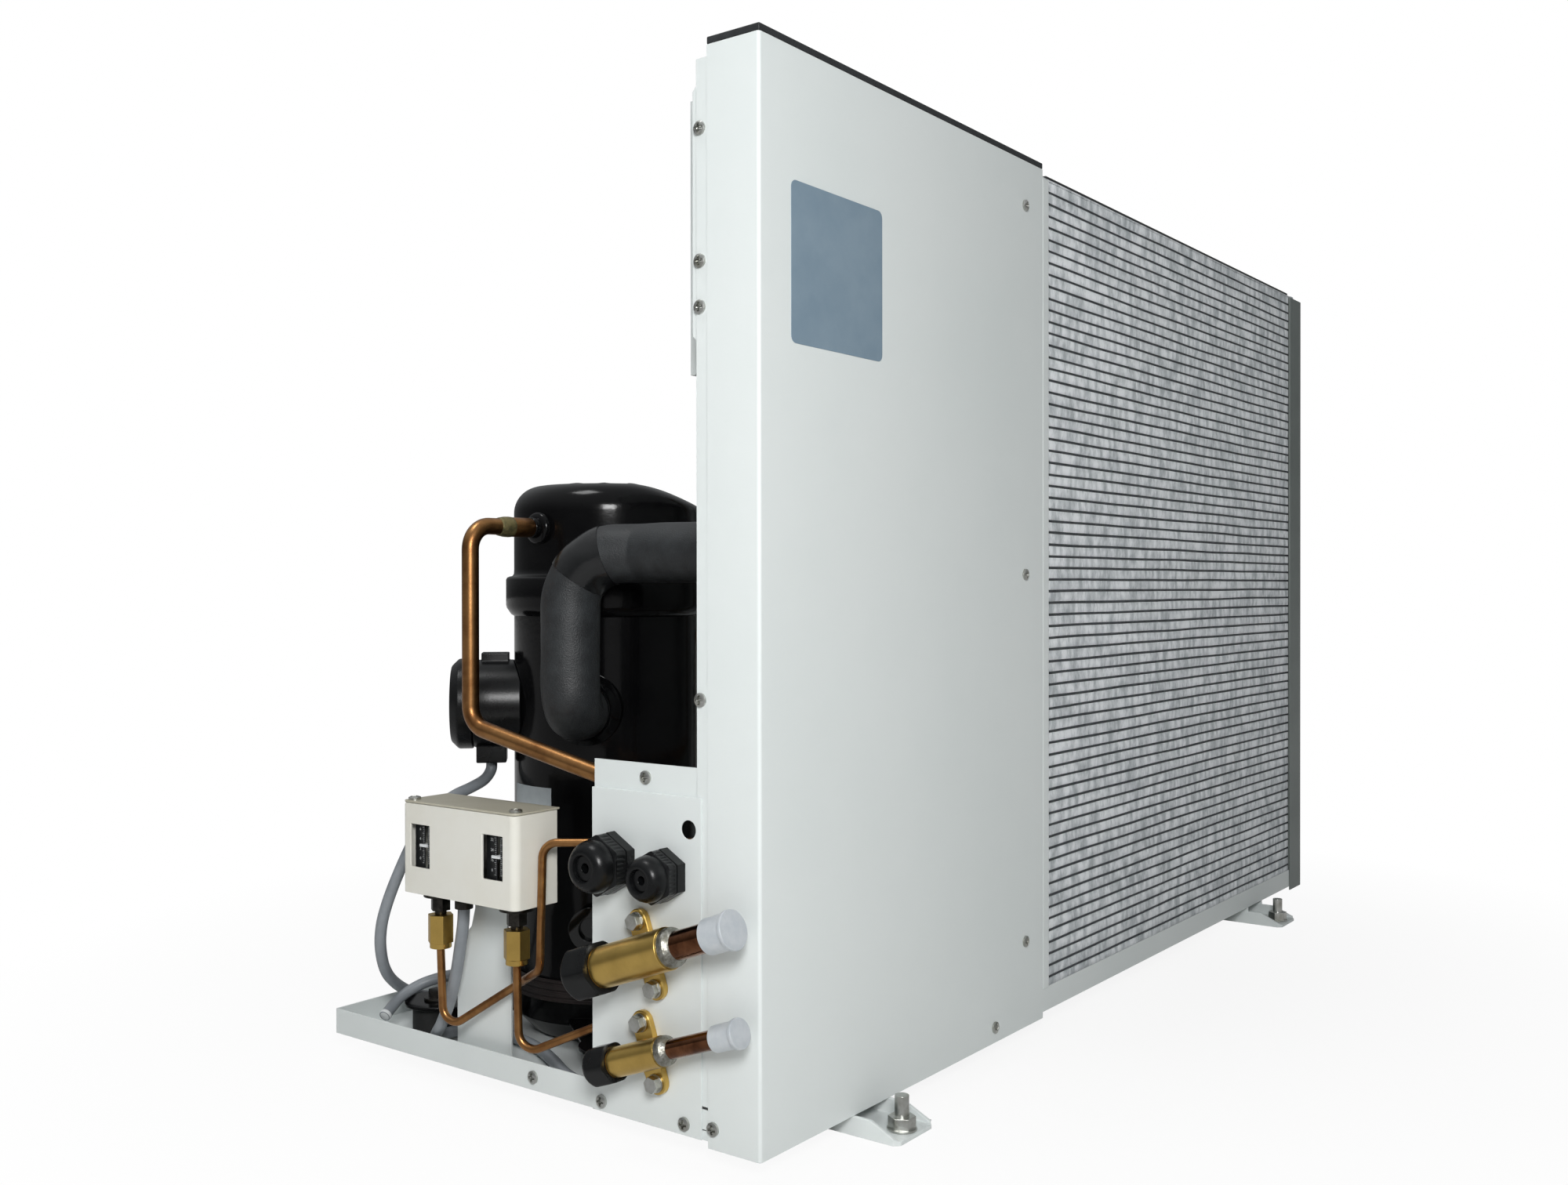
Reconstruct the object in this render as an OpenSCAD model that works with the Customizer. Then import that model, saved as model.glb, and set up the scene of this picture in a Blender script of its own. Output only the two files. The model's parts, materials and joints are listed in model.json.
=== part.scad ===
// Open air-cooled condensing unit on a shallow sheet-steel tray.
// The tray corner under the near end of the blank panel is the working origin,
// X runs along the coil, Y from the air inlet towards the fan, Z up.
// place() moves the whole unit so that its own origin is under its middle.

/* [Casing] */
// Overall length of the casing along the coil
unit_len = 1076; // [1040:1:1200]
// Depth of the tray from the air inlet side to the fan side
unit_depth = 434; // [430:1:480]
// Height of the blank panel and its end flange
panel_h = 715; // [712:1:780]
// Length of the blank panel along the coil side
panel_len = 390; // [386:1:400]
// Width of the panel's end flange
flange_w = 43; // [36:1:46]
// Thickness of the painted sheet steel
sheet = 1.2; // [1:0.1:1.5]
// Distance that the panel hangs below the tray
hem_drop = 4; // [2:1:8]
// Thickness of the black foam strips on the top edges
foam_t = 5; // [3:1:8]

/* [Tray and feet] */
// Height of the tray's upturned walls
tray_wall = 20; // [16:1:24]
// Height of the foot channels
foot_h = 18; // [16:1:30]
// Width of a foot channel
foot_w = 48; // [44:1:60]
// Length of a foot channel outside the tray
foot_reach = 36; // [32:1:50]
// Place of the near foot channel's middle along the tray
foot_near_x = 129; // [100:1:160]
// Place of the far foot channel's middle along the tray
foot_far_x = 918; // [880:1:960]
// Diameter of the anchor bolts
anchor_d = 10; // [8:1:12]

/* [Coil] */
// Distance between two flat tubes
tube_pitch = 10; // [9:0.5:10]
// Number of flat tubes
tube_count = 68; // [60:1:68]
// Thickness of a flat tube
tube_t = 2; // [1.5:0.1:2.5]
// Depth of a flat tube in the direction of the air
tube_depth = 25; // [18:1:27]
// Diameter of the round headers
header_d = 24; // [20:1:26]

/* [Fan] */
// Diameter over the blade tips
fan_d = 496; // [420:1:500]
// Number of blades
blade_count = 5; // [3:1:7]
// Diameter of the rotor hub
hub_d = 140; // [120:1:160]
// Distance from the coil side to the fan plate
fan_plate_y = 150; // [140:1:180]
// Diameter of the motor's fixed axle
axle_d = 16; // [12:1:20]

/* [Compressor] */
// Diameter of the shell
shell_d = 153; // [148:1:156]
// Height of the crown above the tray floor
crown_h = 441; // [438:1:450]
// Distance between two mounting feet
foot_pitch = 196; // [190:1:200]
// Height of the rubber grommets
grommet_h = 21.5; // [18:0.5:23]
// Diameter of the rubber grommets
grommet_d = 39; // [34:1:42]
// Diameter of the round terminal box
terminal_d = 71; // [60:1:76]
// Length of the terminal box outside the shell
terminal_len = 50; // [44:1:54]
// Swing radius of the crank pin that moves the orbiting scroll
orbit_r = 4; // [3:0.5:5]

/* [Refrigerant pipes] */
// Outer diameter of the discharge pipe
discharge_d = 12.7; // [9.5:0.1:13]
// Outer diameter of the suction pipe
suction_d = 19; // [15:0.5:20]
// Outer diameter of the insulation on the suction pipe
insulation_d = 44; // [38:1:46]
// Outer diameter of the liquid pipe
liquid_d = 10; // [9:0.5:12.7]
// Outer diameter of the pressure switch tubes
capillary_d = 6; // [5:0.5:6.5]
// Wall of the copper pipes
pipe_wall = 1; // [0.8:0.1:1.2]
// Diameter of the liquid receiver
receiver_d = 114; // [100:1:116]
// Height of the liquid receiver's crown above the tray floor
receiver_h = 385; // [370:1:390]

/* [Service panel] */
// Width of the service panel
service_w = 98; // [96:1:104]
// Height of the service panel
service_h = 242; // [240:1:260]
// Diameter of the open cable hole
cable_hole_d = 12.5; // [10:0.5:14]
// Outer diameter of the suction stub
suction_stub_d = 19; // [16:0.5:20]
// Outer diameter of the liquid stub
liquid_stub_d = 12.7; // [9.5:0.1:14]
// Angle at which the service valves are turned up
valve_tilt = 20; // [0:1:25]
// Distance of the far end of the large cable gland from the panel
gland_len = 32; // [30:1:36]

/* [Pressure switch] */
// Width of the pressure switch
switch_w = 119.5; // [116:0.5:124]
// Height of the pressure switch
switch_h = 68; // [64:1:70]
// Depth of the pressure switch
switch_depth = 43; // [40:1:44]

/* [Electrical box] */
// Width of the electrical box
box_w = 300; // [260:1:310]
// Height of the electrical box
box_h = 185; // [160:1:186]
// Depth of the electrical box
box_depth = 85; // [80:1:90]

/* [Hidden] */
$fn = 48;

// General clearances and cutting values
over = 1;
run_gap = 0.05;
soft_gap = 0.3;
fit_gap = 0.5;

// Casing levels
tray_z = foot_h;
floor_z = tray_z + sheet;
wall_top = tray_z + sheet + tray_wall - sheet;
panel_z = tray_z - hem_drop;
panel_top = panel_z + panel_h;
coil_y = 3;
coil_y2 = coil_y + tube_depth;
post_top = panel_top - 7;
end_post_w = 40;
end_post_depth = 34;
end_post_x = unit_len - end_post_w;

// Screws
screw_r = 4.6;
screw_head_t = 2.6;
screw_shank_r = 2;
screw_shank = 7;
recess_r = 2;
recess_t = 1.3;

// Panel screws: height or length along each panel, as chosen places
panel_screw_x = panel_len - 32;
panel_screw_zs = [panel_top - 37, panel_z + panel_h / 2 + 16.5, panel_z + 71];
hem_screw_x = panel_len - 84;
hem_screw_z = tray_z + 8.3;
post_screw_y = flange_w + 6.4;
post_screw_zs = [panel_top - 52.6, panel_top - 138.7, panel_top - 168.6, tray_z + 286.8];
flange_screw_y = flange_w - 4.6;
tray_screw_y = 206;
tray_screw_z = tray_z + 9.6;

// Corner post
corner_post_w = flange_w + 10;
corner_post_leg = 25;
post_gap = 1.8;

// Nameplate, bare
plate_x = 33.5;
plate_w = 108;
plate_h = 106;
plate_z = panel_top - 192.2;
plate_t = 0.4;

// Foot channels
foot_t = 3;
gusset_run = foot_reach - 4;
foot_bolt_inset = 12;
foot_corner = 6;
anchor_hole_r = anchor_d / 2 + 0.5;
anchor_top = 27;
nut_t = 8;
nut_af = 17;
washer_r = 10.5;
washer_t = 1.6;

// Coil
coil_first_z = tray_z + 26;
header_x1 = panel_len - 18;
header_x2 = unit_len - 20;
header_y = coil_y + tube_depth / 2;
tube_x1 = header_x1 + header_d / 2 - 1;
tube_x2 = header_x2 - header_d / 2 + 1;
fin_inset = 0.8;
side_plate_t = 1.5;
coil_bottom = coil_first_z - tube_pitch + tube_t / 2;
coil_top = coil_first_z + (tube_count - 1) * tube_pitch + tube_t / 2;
header_over = 2;
seat_w = 60;
coil_port_d = discharge_d + 3;

// Fan
fan_x = (panel_len + unit_len - end_post_w) / 2 + 8;
fan_z = tray_z + 357;
tip_gap = 8;
ring_r = fan_d / 2 + tip_gap;
ring_t = 2;
ring_depth = 46;
shroud_x1 = panel_len - 2;
shroud_x2 = unit_len - 15;
shroud_y1 = coil_y2 + 1;
shroud_top = post_top - 4;
shroud_lip = 12;
hub_depth = 52;
hub_y = fan_plate_y - 40;
hub_wall = 4;
blade_t = 2.4;
blade_pitch_angle = 32;
blade_steps = 6;
blade_root_w = 92;
blade_tip_w = 150;
guard_y = fan_plate_y + 42;
wire = 3.6;
guard_r = ring_r + 14;
guard_rings = 8;
guard_spokes = 8;
motor_flange_r = 58;
motor_flange_t = 12;
axle_r = axle_d / 2;

// Compressor
comp_x = 152;
comp_y = 275;
shell_r = shell_d / 2;
shell_t = 3;
belly_r = shell_r + 6.5;
comp_z = floor_z;
dish_bottom = comp_z + 3;
shell_z1 = comp_z + 38;
belly_taper_z = comp_z + 335.5;
belly_z1 = belly_taper_z + 8;
belly_z2 = belly_z1 + 24;
crown_z = comp_z + crown_h;
crown_round = 22;
crown_flat_r = shell_r - crown_round;
leg_z = comp_z + grommet_h;
leg_t = 3;
leg_end_r = 26;
leg_hole_r = 9;
leg_root_w = 66;
leg_tip_w = 44;
heater_z = comp_z + 41;
heater_h = 16;
heater_t = 3.5;
slope_start = 35;
slope_angle = 24;
port_z = comp_z + 405;
port_r = 8;
port_out = 88;
suction_port_z = comp_z + 264.5;
suction_az = 210;
suction_boss_r = 22;
suction_boss_len = 14;
terminal_z = comp_z + 264.3;
terminal_az = 135;
terminal_cover_len = 18;
terminal_wall = 2.5;
glass_z = comp_z + 96;
glass_az = 214;
glass_boss_r = 26;
glass_r = 12;

// Compressor inner parts
stator_z = comp_z + 92;
stator_h = 88;
rotor_r = 38;
rotor_gap = 0.6;
shaft_r = 11;
shaft_bottom = comp_z + 30;
main_frame_z = comp_z + 292;
main_frame_t = 12;
pin_r = 8;
pin_h = 12;
scroll_plate_t = 8;
scroll_wrap_h = 24;
scroll_wrap_t = 3;
scroll_turns = 2;
scroll_pitch = 2 * (scroll_wrap_t + orbit_r) + 2 * fit_gap;
scroll_start_r = 9;
scroll_plate_r = 52;
scroll_z = main_frame_z + main_frame_t + soft_gap;
hub_wall_t = 4;

// Receiver
receiver_x = comp_x + 155;
receiver_y = comp_y + 27;
receiver_r = receiver_d / 2;
receiver_wall = 3;
receiver_z = floor_z + 14;
receiver_round = 24;
receiver_top = floor_z + receiver_h;

// Hex caps: across flats, length, bore radius of each cap
cap_wall = 3;
suction_cap_af = 34;
suction_cap_len = 25;
liquid_cap_af = 25;
liquid_cap_len = 21;
stem_r = 4;

// Service panel and what it carries
service_y = flange_w + 5.5;
joggle_z = tray_z + service_h - 20.5;
joggle = 2.5;
cable_hole_y = service_y + 10.8;
cable_hole_z = tray_z + 201.3;
service_screw_top = [service_y + 50, tray_z + 232.5];
service_screw_low = [[service_y + 88.9, tray_z + 7.1], [service_y + 14.5, tray_z + 7.7]];
large_gland_at = [service_y + 76.5, tray_z + 173];
small_gland_at = [service_y + 29, tray_z + 170];
suction_valve_at = [service_y + 44, tray_z + 115.5];
liquid_valve_at = [service_y + 42, tray_z + 50.5];
suction_out = 22;
liquid_out = 18;

// The unit's own origin is at the middle of its box, on the floor; the box ends at the suction cap
origin_x = (unit_len - suction_out - suction_cap_af / cos(30) / 2) / 2;
origin_y = unit_depth / 2;

suction_barrel_r = 14;
liquid_barrel_r = 10;
suction_nose = 24;
liquid_nose = 18;
suction_ring_at = 38;
liquid_ring_at = 26;
suction_stub_len = 92;
liquid_stub_len = 92;
plug_len = 21;
plug_wall = 2.2;
plug_rim = 1.2;
ear_t = 5;
ear_r = 8;
suction_ear_pitch = 45.6;
liquid_ear_pitch = 40.2;
m6_r = 3;
m6_head_af = 10;
m6_head_t = 5;
m6_washer_r = 6.3;
m6_washer_t = 1.2;
ring_w = 5;

// Cable glands
large_gland_af = 37;
small_gland_af = 31.5;
small_gland_len = 29;
gland_flange = 8;
gland_hex_len_share = 0.42;
gland_seal_r_share = 0.23;
gland_nose_share = 0.37;
gland_lock_t = 5;

// Pressure switch
switch_x1 = -30;
switch_x2 = switch_x1 + switch_depth;
switch_y1 = 191;
switch_y2 = switch_y1 + switch_w;
switch_z1 = tray_z + 135;
switch_z2 = switch_z1 + switch_h;
switch_wall = 2;
window_w = 21;
window_h = 31.5;
window_z = switch_z1 + 19.6;
low_y = switch_y2 - 18.6;
high_y = switch_y1 + 23.4;
low_port_y = switch_y2 - 15.5;
high_port_y = switch_y1 + 22;
switch_port_x = -8;
connector_af = 13;
switch_gland_x = -2;
switch_gland_y = switch_y1 + 85;
switch_gland_h = 13;
switch_screw_ys = [switch_y1 + 6.6, switch_y2 - 4.6];
switch_screw_x = switch_x1 + 7;
connector_h = 15.5;
flare_af = 17;
flare_h = 25;
flare_z = switch_z1 - connector_h - 3 - flare_h;
spindle_r = 3;
spindle_x = switch_x2 - 18;
scale_x = switch_x1 + 6;
scale_t = 1;
scale_slot = 3.2;
bracket_y1 = 242;
bracket_y2 = 301;
bracket_neck_y1 = 246;
bracket_neck_y2 = 281;
bracket_shoulder = tray_z + 88.8;
bracket_top = switch_z2 - 20;
bracket_t = 2;
bracket_foot = 22;

// Electrical box
box_x = 40;
box_y = sheet + 1.8;
box_z = panel_top - 204;
lid_lip = 12;
box_gland_x = box_x + 60;
box_gland_pitch = 90;
box_gland_y = box_y + 42;

// Free cables: points chosen by hand, from the unit's working origin
cable_d = 9;
compressor_cable_pts = [
  [85, 342, 236], [84, 342, 229], [77, 342, 222], [64, 343, 217], [48, 345, 212], [33, 348, 203],
  [18, 354, 184], [6, 363, 152], [0, 371, 124], [0, 376, 104], [6, 382, 86], [16, 389, 71],
  [31, 397, 58], [50, 404, 46], [72, 410, 36], [100, 414, 28], [150, 415, 25], [220, 415, 25],
  [290, 415, 25], [340, 412, 25], [372, 398, 25], [388, 370, 25], [390, 330, 25], [386, 280, 25],
  [374, 220, 25], [356, 170, 25], [342, 145, 28], [333, 132, 46], [330, 128, 80], [330, 128, 160],
  [330, 128, 260], [330, 128, 350], [328, 126, 420], [318, 118, 460], [296, 98, 486], [262, 70, 494],
  [226, 52, 496], [200, 46, 502], [190, 45, 510], [190, 45, 519],
];
switch_cable_pts = [
  [-2, 276, 140], [-2, 277, 128], [-2, 280, 112], [0, 287, 90], [3, 298, 66], [6, 311, 46],
  [14, 327, 33], [29, 340, 27], [47, 341, 25], [60, 331, 25], [65, 312, 25], [62, 285, 25],
  [54, 255, 25], [40, 225, 25], [24, 195, 25], [16, 165, 25], [15, 135, 25], [17, 108, 30],
  [22, 84, 44], [27, 68, 68], [30, 61, 110], [30, 60, 200], [30, 60, 300], [32, 58, 400],
  [42, 54, 450], [64, 49, 482], [86, 46, 498], [98, 45, 508], [100, 45, 519],
];
heater_cable_pts = [
  [90.5, 336.5, 64], [84, 343, 64], [74, 356, 64], [60, 374, 60], [46, 385, 55], [30, 389, 48],
  [20, 387, 43], [10, 384, 38],
];
cable_sides = 10;
compressor_cable_steps = 44;
switch_cable_steps = 32;
heater_cable_steps = 7;

// Pipes are swept in flat steps
pipe_sides = 12;
bend_step = 18;

function unit(v) = v / norm(v);
function lerp(a, b, t) = a + (b - a) * t;

// A point on a smooth curve through four neighbouring points
function spline(p0, p1, p2, p3, t) =
  0.5 * (2 * p1 + (p2 - p0) * t + (2 * p0 - 5 * p1 + 4 * p2 - p3) * t * t
  + (3 * p1 - p0 - 3 * p2 + p3) * t * t * t);

// A point at a share s of the whole route
function route_at(pts, s) =
  let (n = len(pts) - 1, f = min(s * n, n - 0.0001), i = floor(f))
  spline(pts[max(i - 1, 0)], pts[i], pts[i + 1], pts[min(i + 2, n)], f - i);

// Normals carried along a line of tangents, without twist
function carry(tangents, last, i = 0, done = []) =
  i == len(tangents) ? done :
  let (n = unit(last - (last * tangents[i]) * tangents[i]))
  carry(tangents, n, i + 1, concat(done, [n]));

// A tube of flat sides along a line of points, its rings square to the line.
// It is solid unless it has a bore.
module swept_tube(line, r, sides, bore = 0) {
  last = len(line) - 1;
  tangents = [for (i = [0:last])
    unit(unit(line[min(i + 1, last)] - line[max(min(i, last - 1), 0)])
    + unit(line[max(i, 1)] - line[max(i, 1) - 1]))];
  normals = carry(tangents, unit(cross(tangents[0], [0.3, 0.9, 0.2])));
  function skin(size) = [for (i = [0:last]) for (k = [0:sides - 1])
    let (a = 360 * k / sides, n = normals[i], b = cross(tangents[i], n))
    line[i] + size * (cos(a) * n + sin(a) * b)];
  function corner(i, k) = i * sides + k % sides;
  function wall(a, b, c, d) = [[a, c, b], [b, c, d]];
  inner = (last + 1) * sides;
  base = last * sides;
  outside = [for (i = [0:last - 1]) for (k = [0:sides - 1])
    each wall(corner(i, k), corner(i, k + 1), corner(i + 1, k), corner(i + 1, k + 1))];
  inside = [for (i = [0:last - 1]) for (k = [0:sides - 1])
    each wall(inner + corner(i, k), inner + corner(i + 1, k),
      inner + corner(i, k + 1), inner + corner(i + 1, k + 1))];
  rims = [for (k = [0:sides - 1])
    each concat(wall(corner(0, k), inner + corner(0, k), corner(0, k + 1), inner + corner(0, k + 1)),
      wall(corner(last, k), corner(last, k + 1), inner + corner(last, k), inner + corner(last, k + 1)))];
  discs = [for (k = [1:sides - 2]) each [[0, k, k + 1], [base, base + k + 1, base + k]]];
  if (bore > 0) polyhedron(concat(skin(r), skin(bore)), concat(outside, inside, rims));
  else polyhedron(skin(r), concat(outside, discs));
}

// The points of a smooth route
function cord_line(pts, steps) = [for (i = [0:steps]) route_at(pts, i / steps)];

// The points of a round bend at b, on the way from a to c
function bend_points(a, b, c, bend) =
  let (u = unit(b - a), v = unit(c - b), angle = acos(max(-1, min(1, u * v))),
    inward = unit(v - (v * u) * u), centre = b - u * bend * tan(angle / 2) + inward * bend,
    n = ceil(angle / bend_step))
  [for (k = [0:n]) centre + bend * (sin(angle * k / n) * u - cos(angle * k / n) * inward)];

// A pipe of straight runs and round bends along its corner points
module bent_pipe(pts, r, bend, sides = pipe_sides, bore = 0) {
  n = len(pts) - 1;
  middle = [for (i = [1:n - 1]) each bend_points(pts[i - 1], pts[i], pts[i + 1], bend)];
  swept_tube(concat([pts[0]], middle, [pts[n]]), r, sides, bore);
}

// A round bar between two values on the X, Y or Z axis
module bar_x(from, to, r) {
  translate([from, 0, 0]) rotate([0, 90, 0]) cylinder(h = to - from, r = r);
}

module bar_y(from, to, r) {
  translate([0, from, 0]) rotate([-90, 0, 0]) cylinder(h = to - from, r = r);
}

module bar_z(from, to, r) {
  translate([0, 0, from]) cylinder(h = to - from, r = r);
}

module hex_x(from, to, af) {
  translate([from, 0, 0]) rotate([0, 90, 0]) cylinder(h = to - from, d = af / cos(30), $fn = 6);
}

module hex_z(from, to, af) {
  translate([0, 0, from]) cylinder(h = to - from, d = af / cos(30), $fn = 6);
}

module box_at(low, high) {
  translate(low) cube(high - low);
}

// Moves the working origin under the middle of the unit
module place() {
  translate([-origin_x, -origin_y, 0]) children();
}

// A pan-head screw whose head stands on the plane Z = 0 and whose shank goes down
module pan_screw() {
  difference() {
    union() {
      bar_z(0, screw_head_t, screw_r);
      bar_z(-screw_shank, 0, screw_shank_r);
    }
    bar_z(screw_head_t - recess_t, screw_head_t + over, recess_r);
  }
}

// Turns something that stands on Z = 0 to face -X or -Y
module facing_minus_x(x, y, z) {
  translate([x, y, z]) rotate([0, -90, 0]) children();
}

module facing_minus_y(x, y, z) {
  translate([x, y, z]) rotate([90, 0, 0]) children();
}

module base_tray() {
  color("gainsboro") place() difference() {
    box_at([sheet, sheet, tray_z], [unit_len - sheet, unit_depth, wall_top]);
    box_at([2 * sheet, 2 * sheet, floor_z], [unit_len - 2 * sheet, unit_depth - sheet, wall_top + over]);
    for (fx = [foot_near_x, foot_far_x]) for (yy = [unit_depth / 4, 3 * unit_depth / 4])
      translate([fx, yy, tray_z - over]) cylinder(h = sheet + 2 * over, r = m6_r);
    facing_minus_x(0, tray_screw_y, tray_screw_z) bar_z(-screw_shank, over, screw_shank_r);
    facing_minus_x(0, flange_screw_y, tray_screw_z) bar_z(-screw_shank, over, screw_shank_r);
    for (s = service_screw_low) facing_minus_x(0, s.x, s.y) bar_z(-screw_shank, over, screw_shank_r);
    facing_minus_y(hem_screw_x, 0, hem_screw_z) bar_z(-screw_shank, over, screw_shank_r);
  }
}

// One foot channel across the tray, its side walls cut down to the end of the plate
module foot_channel() {
  half = foot_w / 2;
  y1 = -foot_reach;
  y2 = unit_depth + foot_reach;
  difference() {
    box_at([-half, y1, 0], [half, y2, foot_h]);
    box_at([-half + foot_t, y1 - over, foot_t], [half - foot_t, y2 + over, foot_h + over]);
    for (m = [0, 1]) translate([0, m * unit_depth, 0]) mirror([0, m, 0]) {
      rotate([90, 0, 90]) translate([0, 0, -half - over]) linear_extrude(foot_w + 2 * over)
        polygon([[-foot_reach - over, foot_t], [-foot_reach, foot_t], [-foot_reach + gusset_run, foot_h],
          [-foot_reach + gusset_run, foot_h + over], [-foot_reach - over, foot_h + over]]);
      translate([0, foot_bolt_inset - foot_reach, -over]) cylinder(h = foot_t + 2 * over, r = anchor_hole_r);
      box_at([-half - over, -foot_reach, panel_z - soft_gap],
        [half + over, sheet + soft_gap, foot_h + over]);
      for (side = [-1, 1]) translate([side * half, -foot_reach, -over]) rotate([0, 0, 45])
        cube([foot_corner, foot_corner, 2 * (foot_t + 2 * over)], center = true);
    }
  }
}

module foot_channels() {
  color("gainsboro") place() for (fx = [foot_near_x, foot_far_x]) translate([fx, 0, 0]) foot_channel();
}

// Anchor bolts with their nuts and washers, run down on the foot plates
module foot_bolts() {
  color("silver") place() for (fx = [foot_near_x, foot_far_x])
    for (yy = [foot_bolt_inset - foot_reach, unit_depth + foot_reach - foot_bolt_inset])
      translate([fx, yy, 0]) {
        bar_z(0, anchor_top, anchor_d / 2);
        difference() {
          hex_z(foot_t + washer_t, foot_t + washer_t + nut_t, nut_af);
          bar_z(foot_t, foot_t + washer_t + nut_t + over, anchor_d / 2);
        }
        difference() {
          bar_z(foot_t, foot_t + washer_t, washer_r);
          bar_z(foot_t - over, foot_t + washer_t + over, anchor_d / 2);
        }
      }
}

module blank_panel() {
  top_lip = 14;
  edge_lip = 10;
  color("whitesmoke") place() difference() {
    union() {
      box_at([0, 0, panel_z], [panel_len, sheet, panel_top]);
      box_at([0, 0, panel_z], [sheet, flange_w, panel_top]);
      box_at([0, 0, panel_top - sheet], [panel_len, top_lip, panel_top]);
      box_at([0, 0, panel_top - sheet], [top_lip, flange_w, panel_top]);
      box_at([panel_len - sheet, 0, wall_top + post_gap], [panel_len, coil_y - fit_gap, panel_top]);
    }
    for (z = panel_screw_zs) facing_minus_y(panel_screw_x, 0, z) bar_z(-screw_shank, over, screw_shank_r);
    facing_minus_y(hem_screw_x, 0, hem_screw_z) bar_z(-screw_shank, over, screw_shank_r);
    facing_minus_x(0, flange_screw_y, tray_screw_z) bar_z(-screw_shank, over, screw_shank_r);
  }
}

// Corner post behind the flange, and the narrow post between the panel and the coil
module inner_posts() {
  color("whitesmoke") place() {
    difference() {
      union() {
        box_at([sheet, sheet, wall_top + post_gap], [2 * sheet, corner_post_w, post_top]);
        box_at([sheet, sheet, wall_top + post_gap], [corner_post_leg, 2 * sheet, post_top]);
      }
      for (z = post_screw_zs) facing_minus_x(0, post_screw_y, z) bar_z(-screw_shank, over, screw_shank_r);
      facing_minus_x(sheet, service_screw_top.x, service_screw_top.y)
        bar_z(-screw_shank, over, screw_shank_r);
    }
    difference() {
      box_at([panel_screw_x - 12, sheet, wall_top + post_gap],
        [header_x1 - header_d / 2 - 1, 2 * sheet, post_top]);
      for (z = panel_screw_zs) facing_minus_y(panel_screw_x, 0, z) bar_z(-screw_shank, over, screw_shank_r);
    }
    box_at([panel_len + 0.5, 0, wall_top], [panel_len + 11, coil_y - fit_gap, post_top]);
  }
}

module service_panel() {
  holes = [[suction_valve_at, suction_ear_pitch, suction_stub_d / 2 + 1],
    [liquid_valve_at, liquid_ear_pitch, liquid_d / 2 + 1]];
  color("whitesmoke") place() difference() {
    union() {
      box_at([0, service_y, tray_z], [sheet, service_y + service_w, joggle_z + sheet]);
      box_at([joggle, service_y, joggle_z], [joggle + sheet, service_y + service_w, tray_z + service_h]);
      box_at([0, service_y, joggle_z], [joggle + sheet, service_y + service_w, joggle_z + sheet]);
    }
    facing_minus_x(0, cable_hole_y, cable_hole_z) bar_z(-2 * sheet, over, cable_hole_d / 2);
    facing_minus_x(0, large_gland_at.x, large_gland_at.y)
      bar_z(-2 * sheet, over, large_gland_af * gland_nose_share);
    facing_minus_x(0, small_gland_at.x, small_gland_at.y)
      bar_z(-2 * sheet, over, small_gland_af * gland_nose_share);
    for (h = holes) {
      facing_minus_x(0, h[0].x, h[0].y) bar_z(-2 * sheet, over, h[2]);
      for (s = [-1, 1]) translate([0, h[0].x, h[0].y]) rotate([-valve_tilt, 0, 0])
        translate([0, 0, s * h[1] / 2]) bar_x(-over, 2 * sheet, m6_r);
    }
    for (s = service_screw_low) facing_minus_x(0, s.x, s.y) bar_z(-screw_shank, over, screw_shank_r);
    facing_minus_x(joggle, service_screw_top.x, service_screw_top.y)
      bar_z(-screw_shank, over, screw_shank_r);
  }
}

// Channel that closes the far end of the coil
module coil_end_post() {
  color("gainsboro") place() {
    box_at([end_post_x, 0, tray_z - hem_drop], [unit_len, sheet, post_top]);
    box_at([unit_len - sheet, 0, tray_z - hem_drop], [unit_len, end_post_depth, post_top]);
    box_at([unit_len - 14, end_post_depth - sheet, wall_top + post_gap],
      [unit_len, end_post_depth, post_top]);
    box_at([end_post_x, 0, wall_top + post_gap], [end_post_x + sheet, coil_y - fit_gap, post_top]);
  }
}

// Black foam: on the panel's top edges, on the coil, and the coil's seats
module foam_seals() {
  strip = 12;
  color("black") place() {
    box_at([0, 0, panel_top], [panel_len, strip, panel_top + foam_t]);
    box_at([0, strip, panel_top], [strip, flange_w, panel_top + foam_t]);
    box_at([panel_len + 12, coil_y, coil_top + side_plate_t + tube_pitch - tube_t],
      [end_post_x - 1, coil_y2, coil_top + side_plate_t + tube_pitch - tube_t + foam_t / 2]);
    for (xx = [panel_len + 10, fan_x - seat_w / 2, end_post_x - seat_w])
      box_at([xx, coil_y, floor_z], [xx + seat_w, coil_y2, coil_bottom - side_plate_t]);
  }
}

module panel_screws() {
  color("silver") place() {
    for (z = panel_screw_zs) facing_minus_y(panel_screw_x, 0, z) pan_screw();
    facing_minus_y(hem_screw_x, 0, hem_screw_z) pan_screw();
    for (z = post_screw_zs) facing_minus_x(sheet, post_screw_y, z) pan_screw();
    facing_minus_x(0, flange_screw_y, tray_screw_z) pan_screw();
    for (s = service_screw_low) facing_minus_x(0, s.x, s.y) pan_screw();
    facing_minus_x(joggle, service_screw_top.x, service_screw_top.y) pan_screw();
    facing_minus_x(sheet, tray_screw_y, tray_screw_z) pan_screw();
    for (y = switch_screw_ys) translate([switch_screw_x, y, switch_z2]) pan_screw();
  }
}

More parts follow.
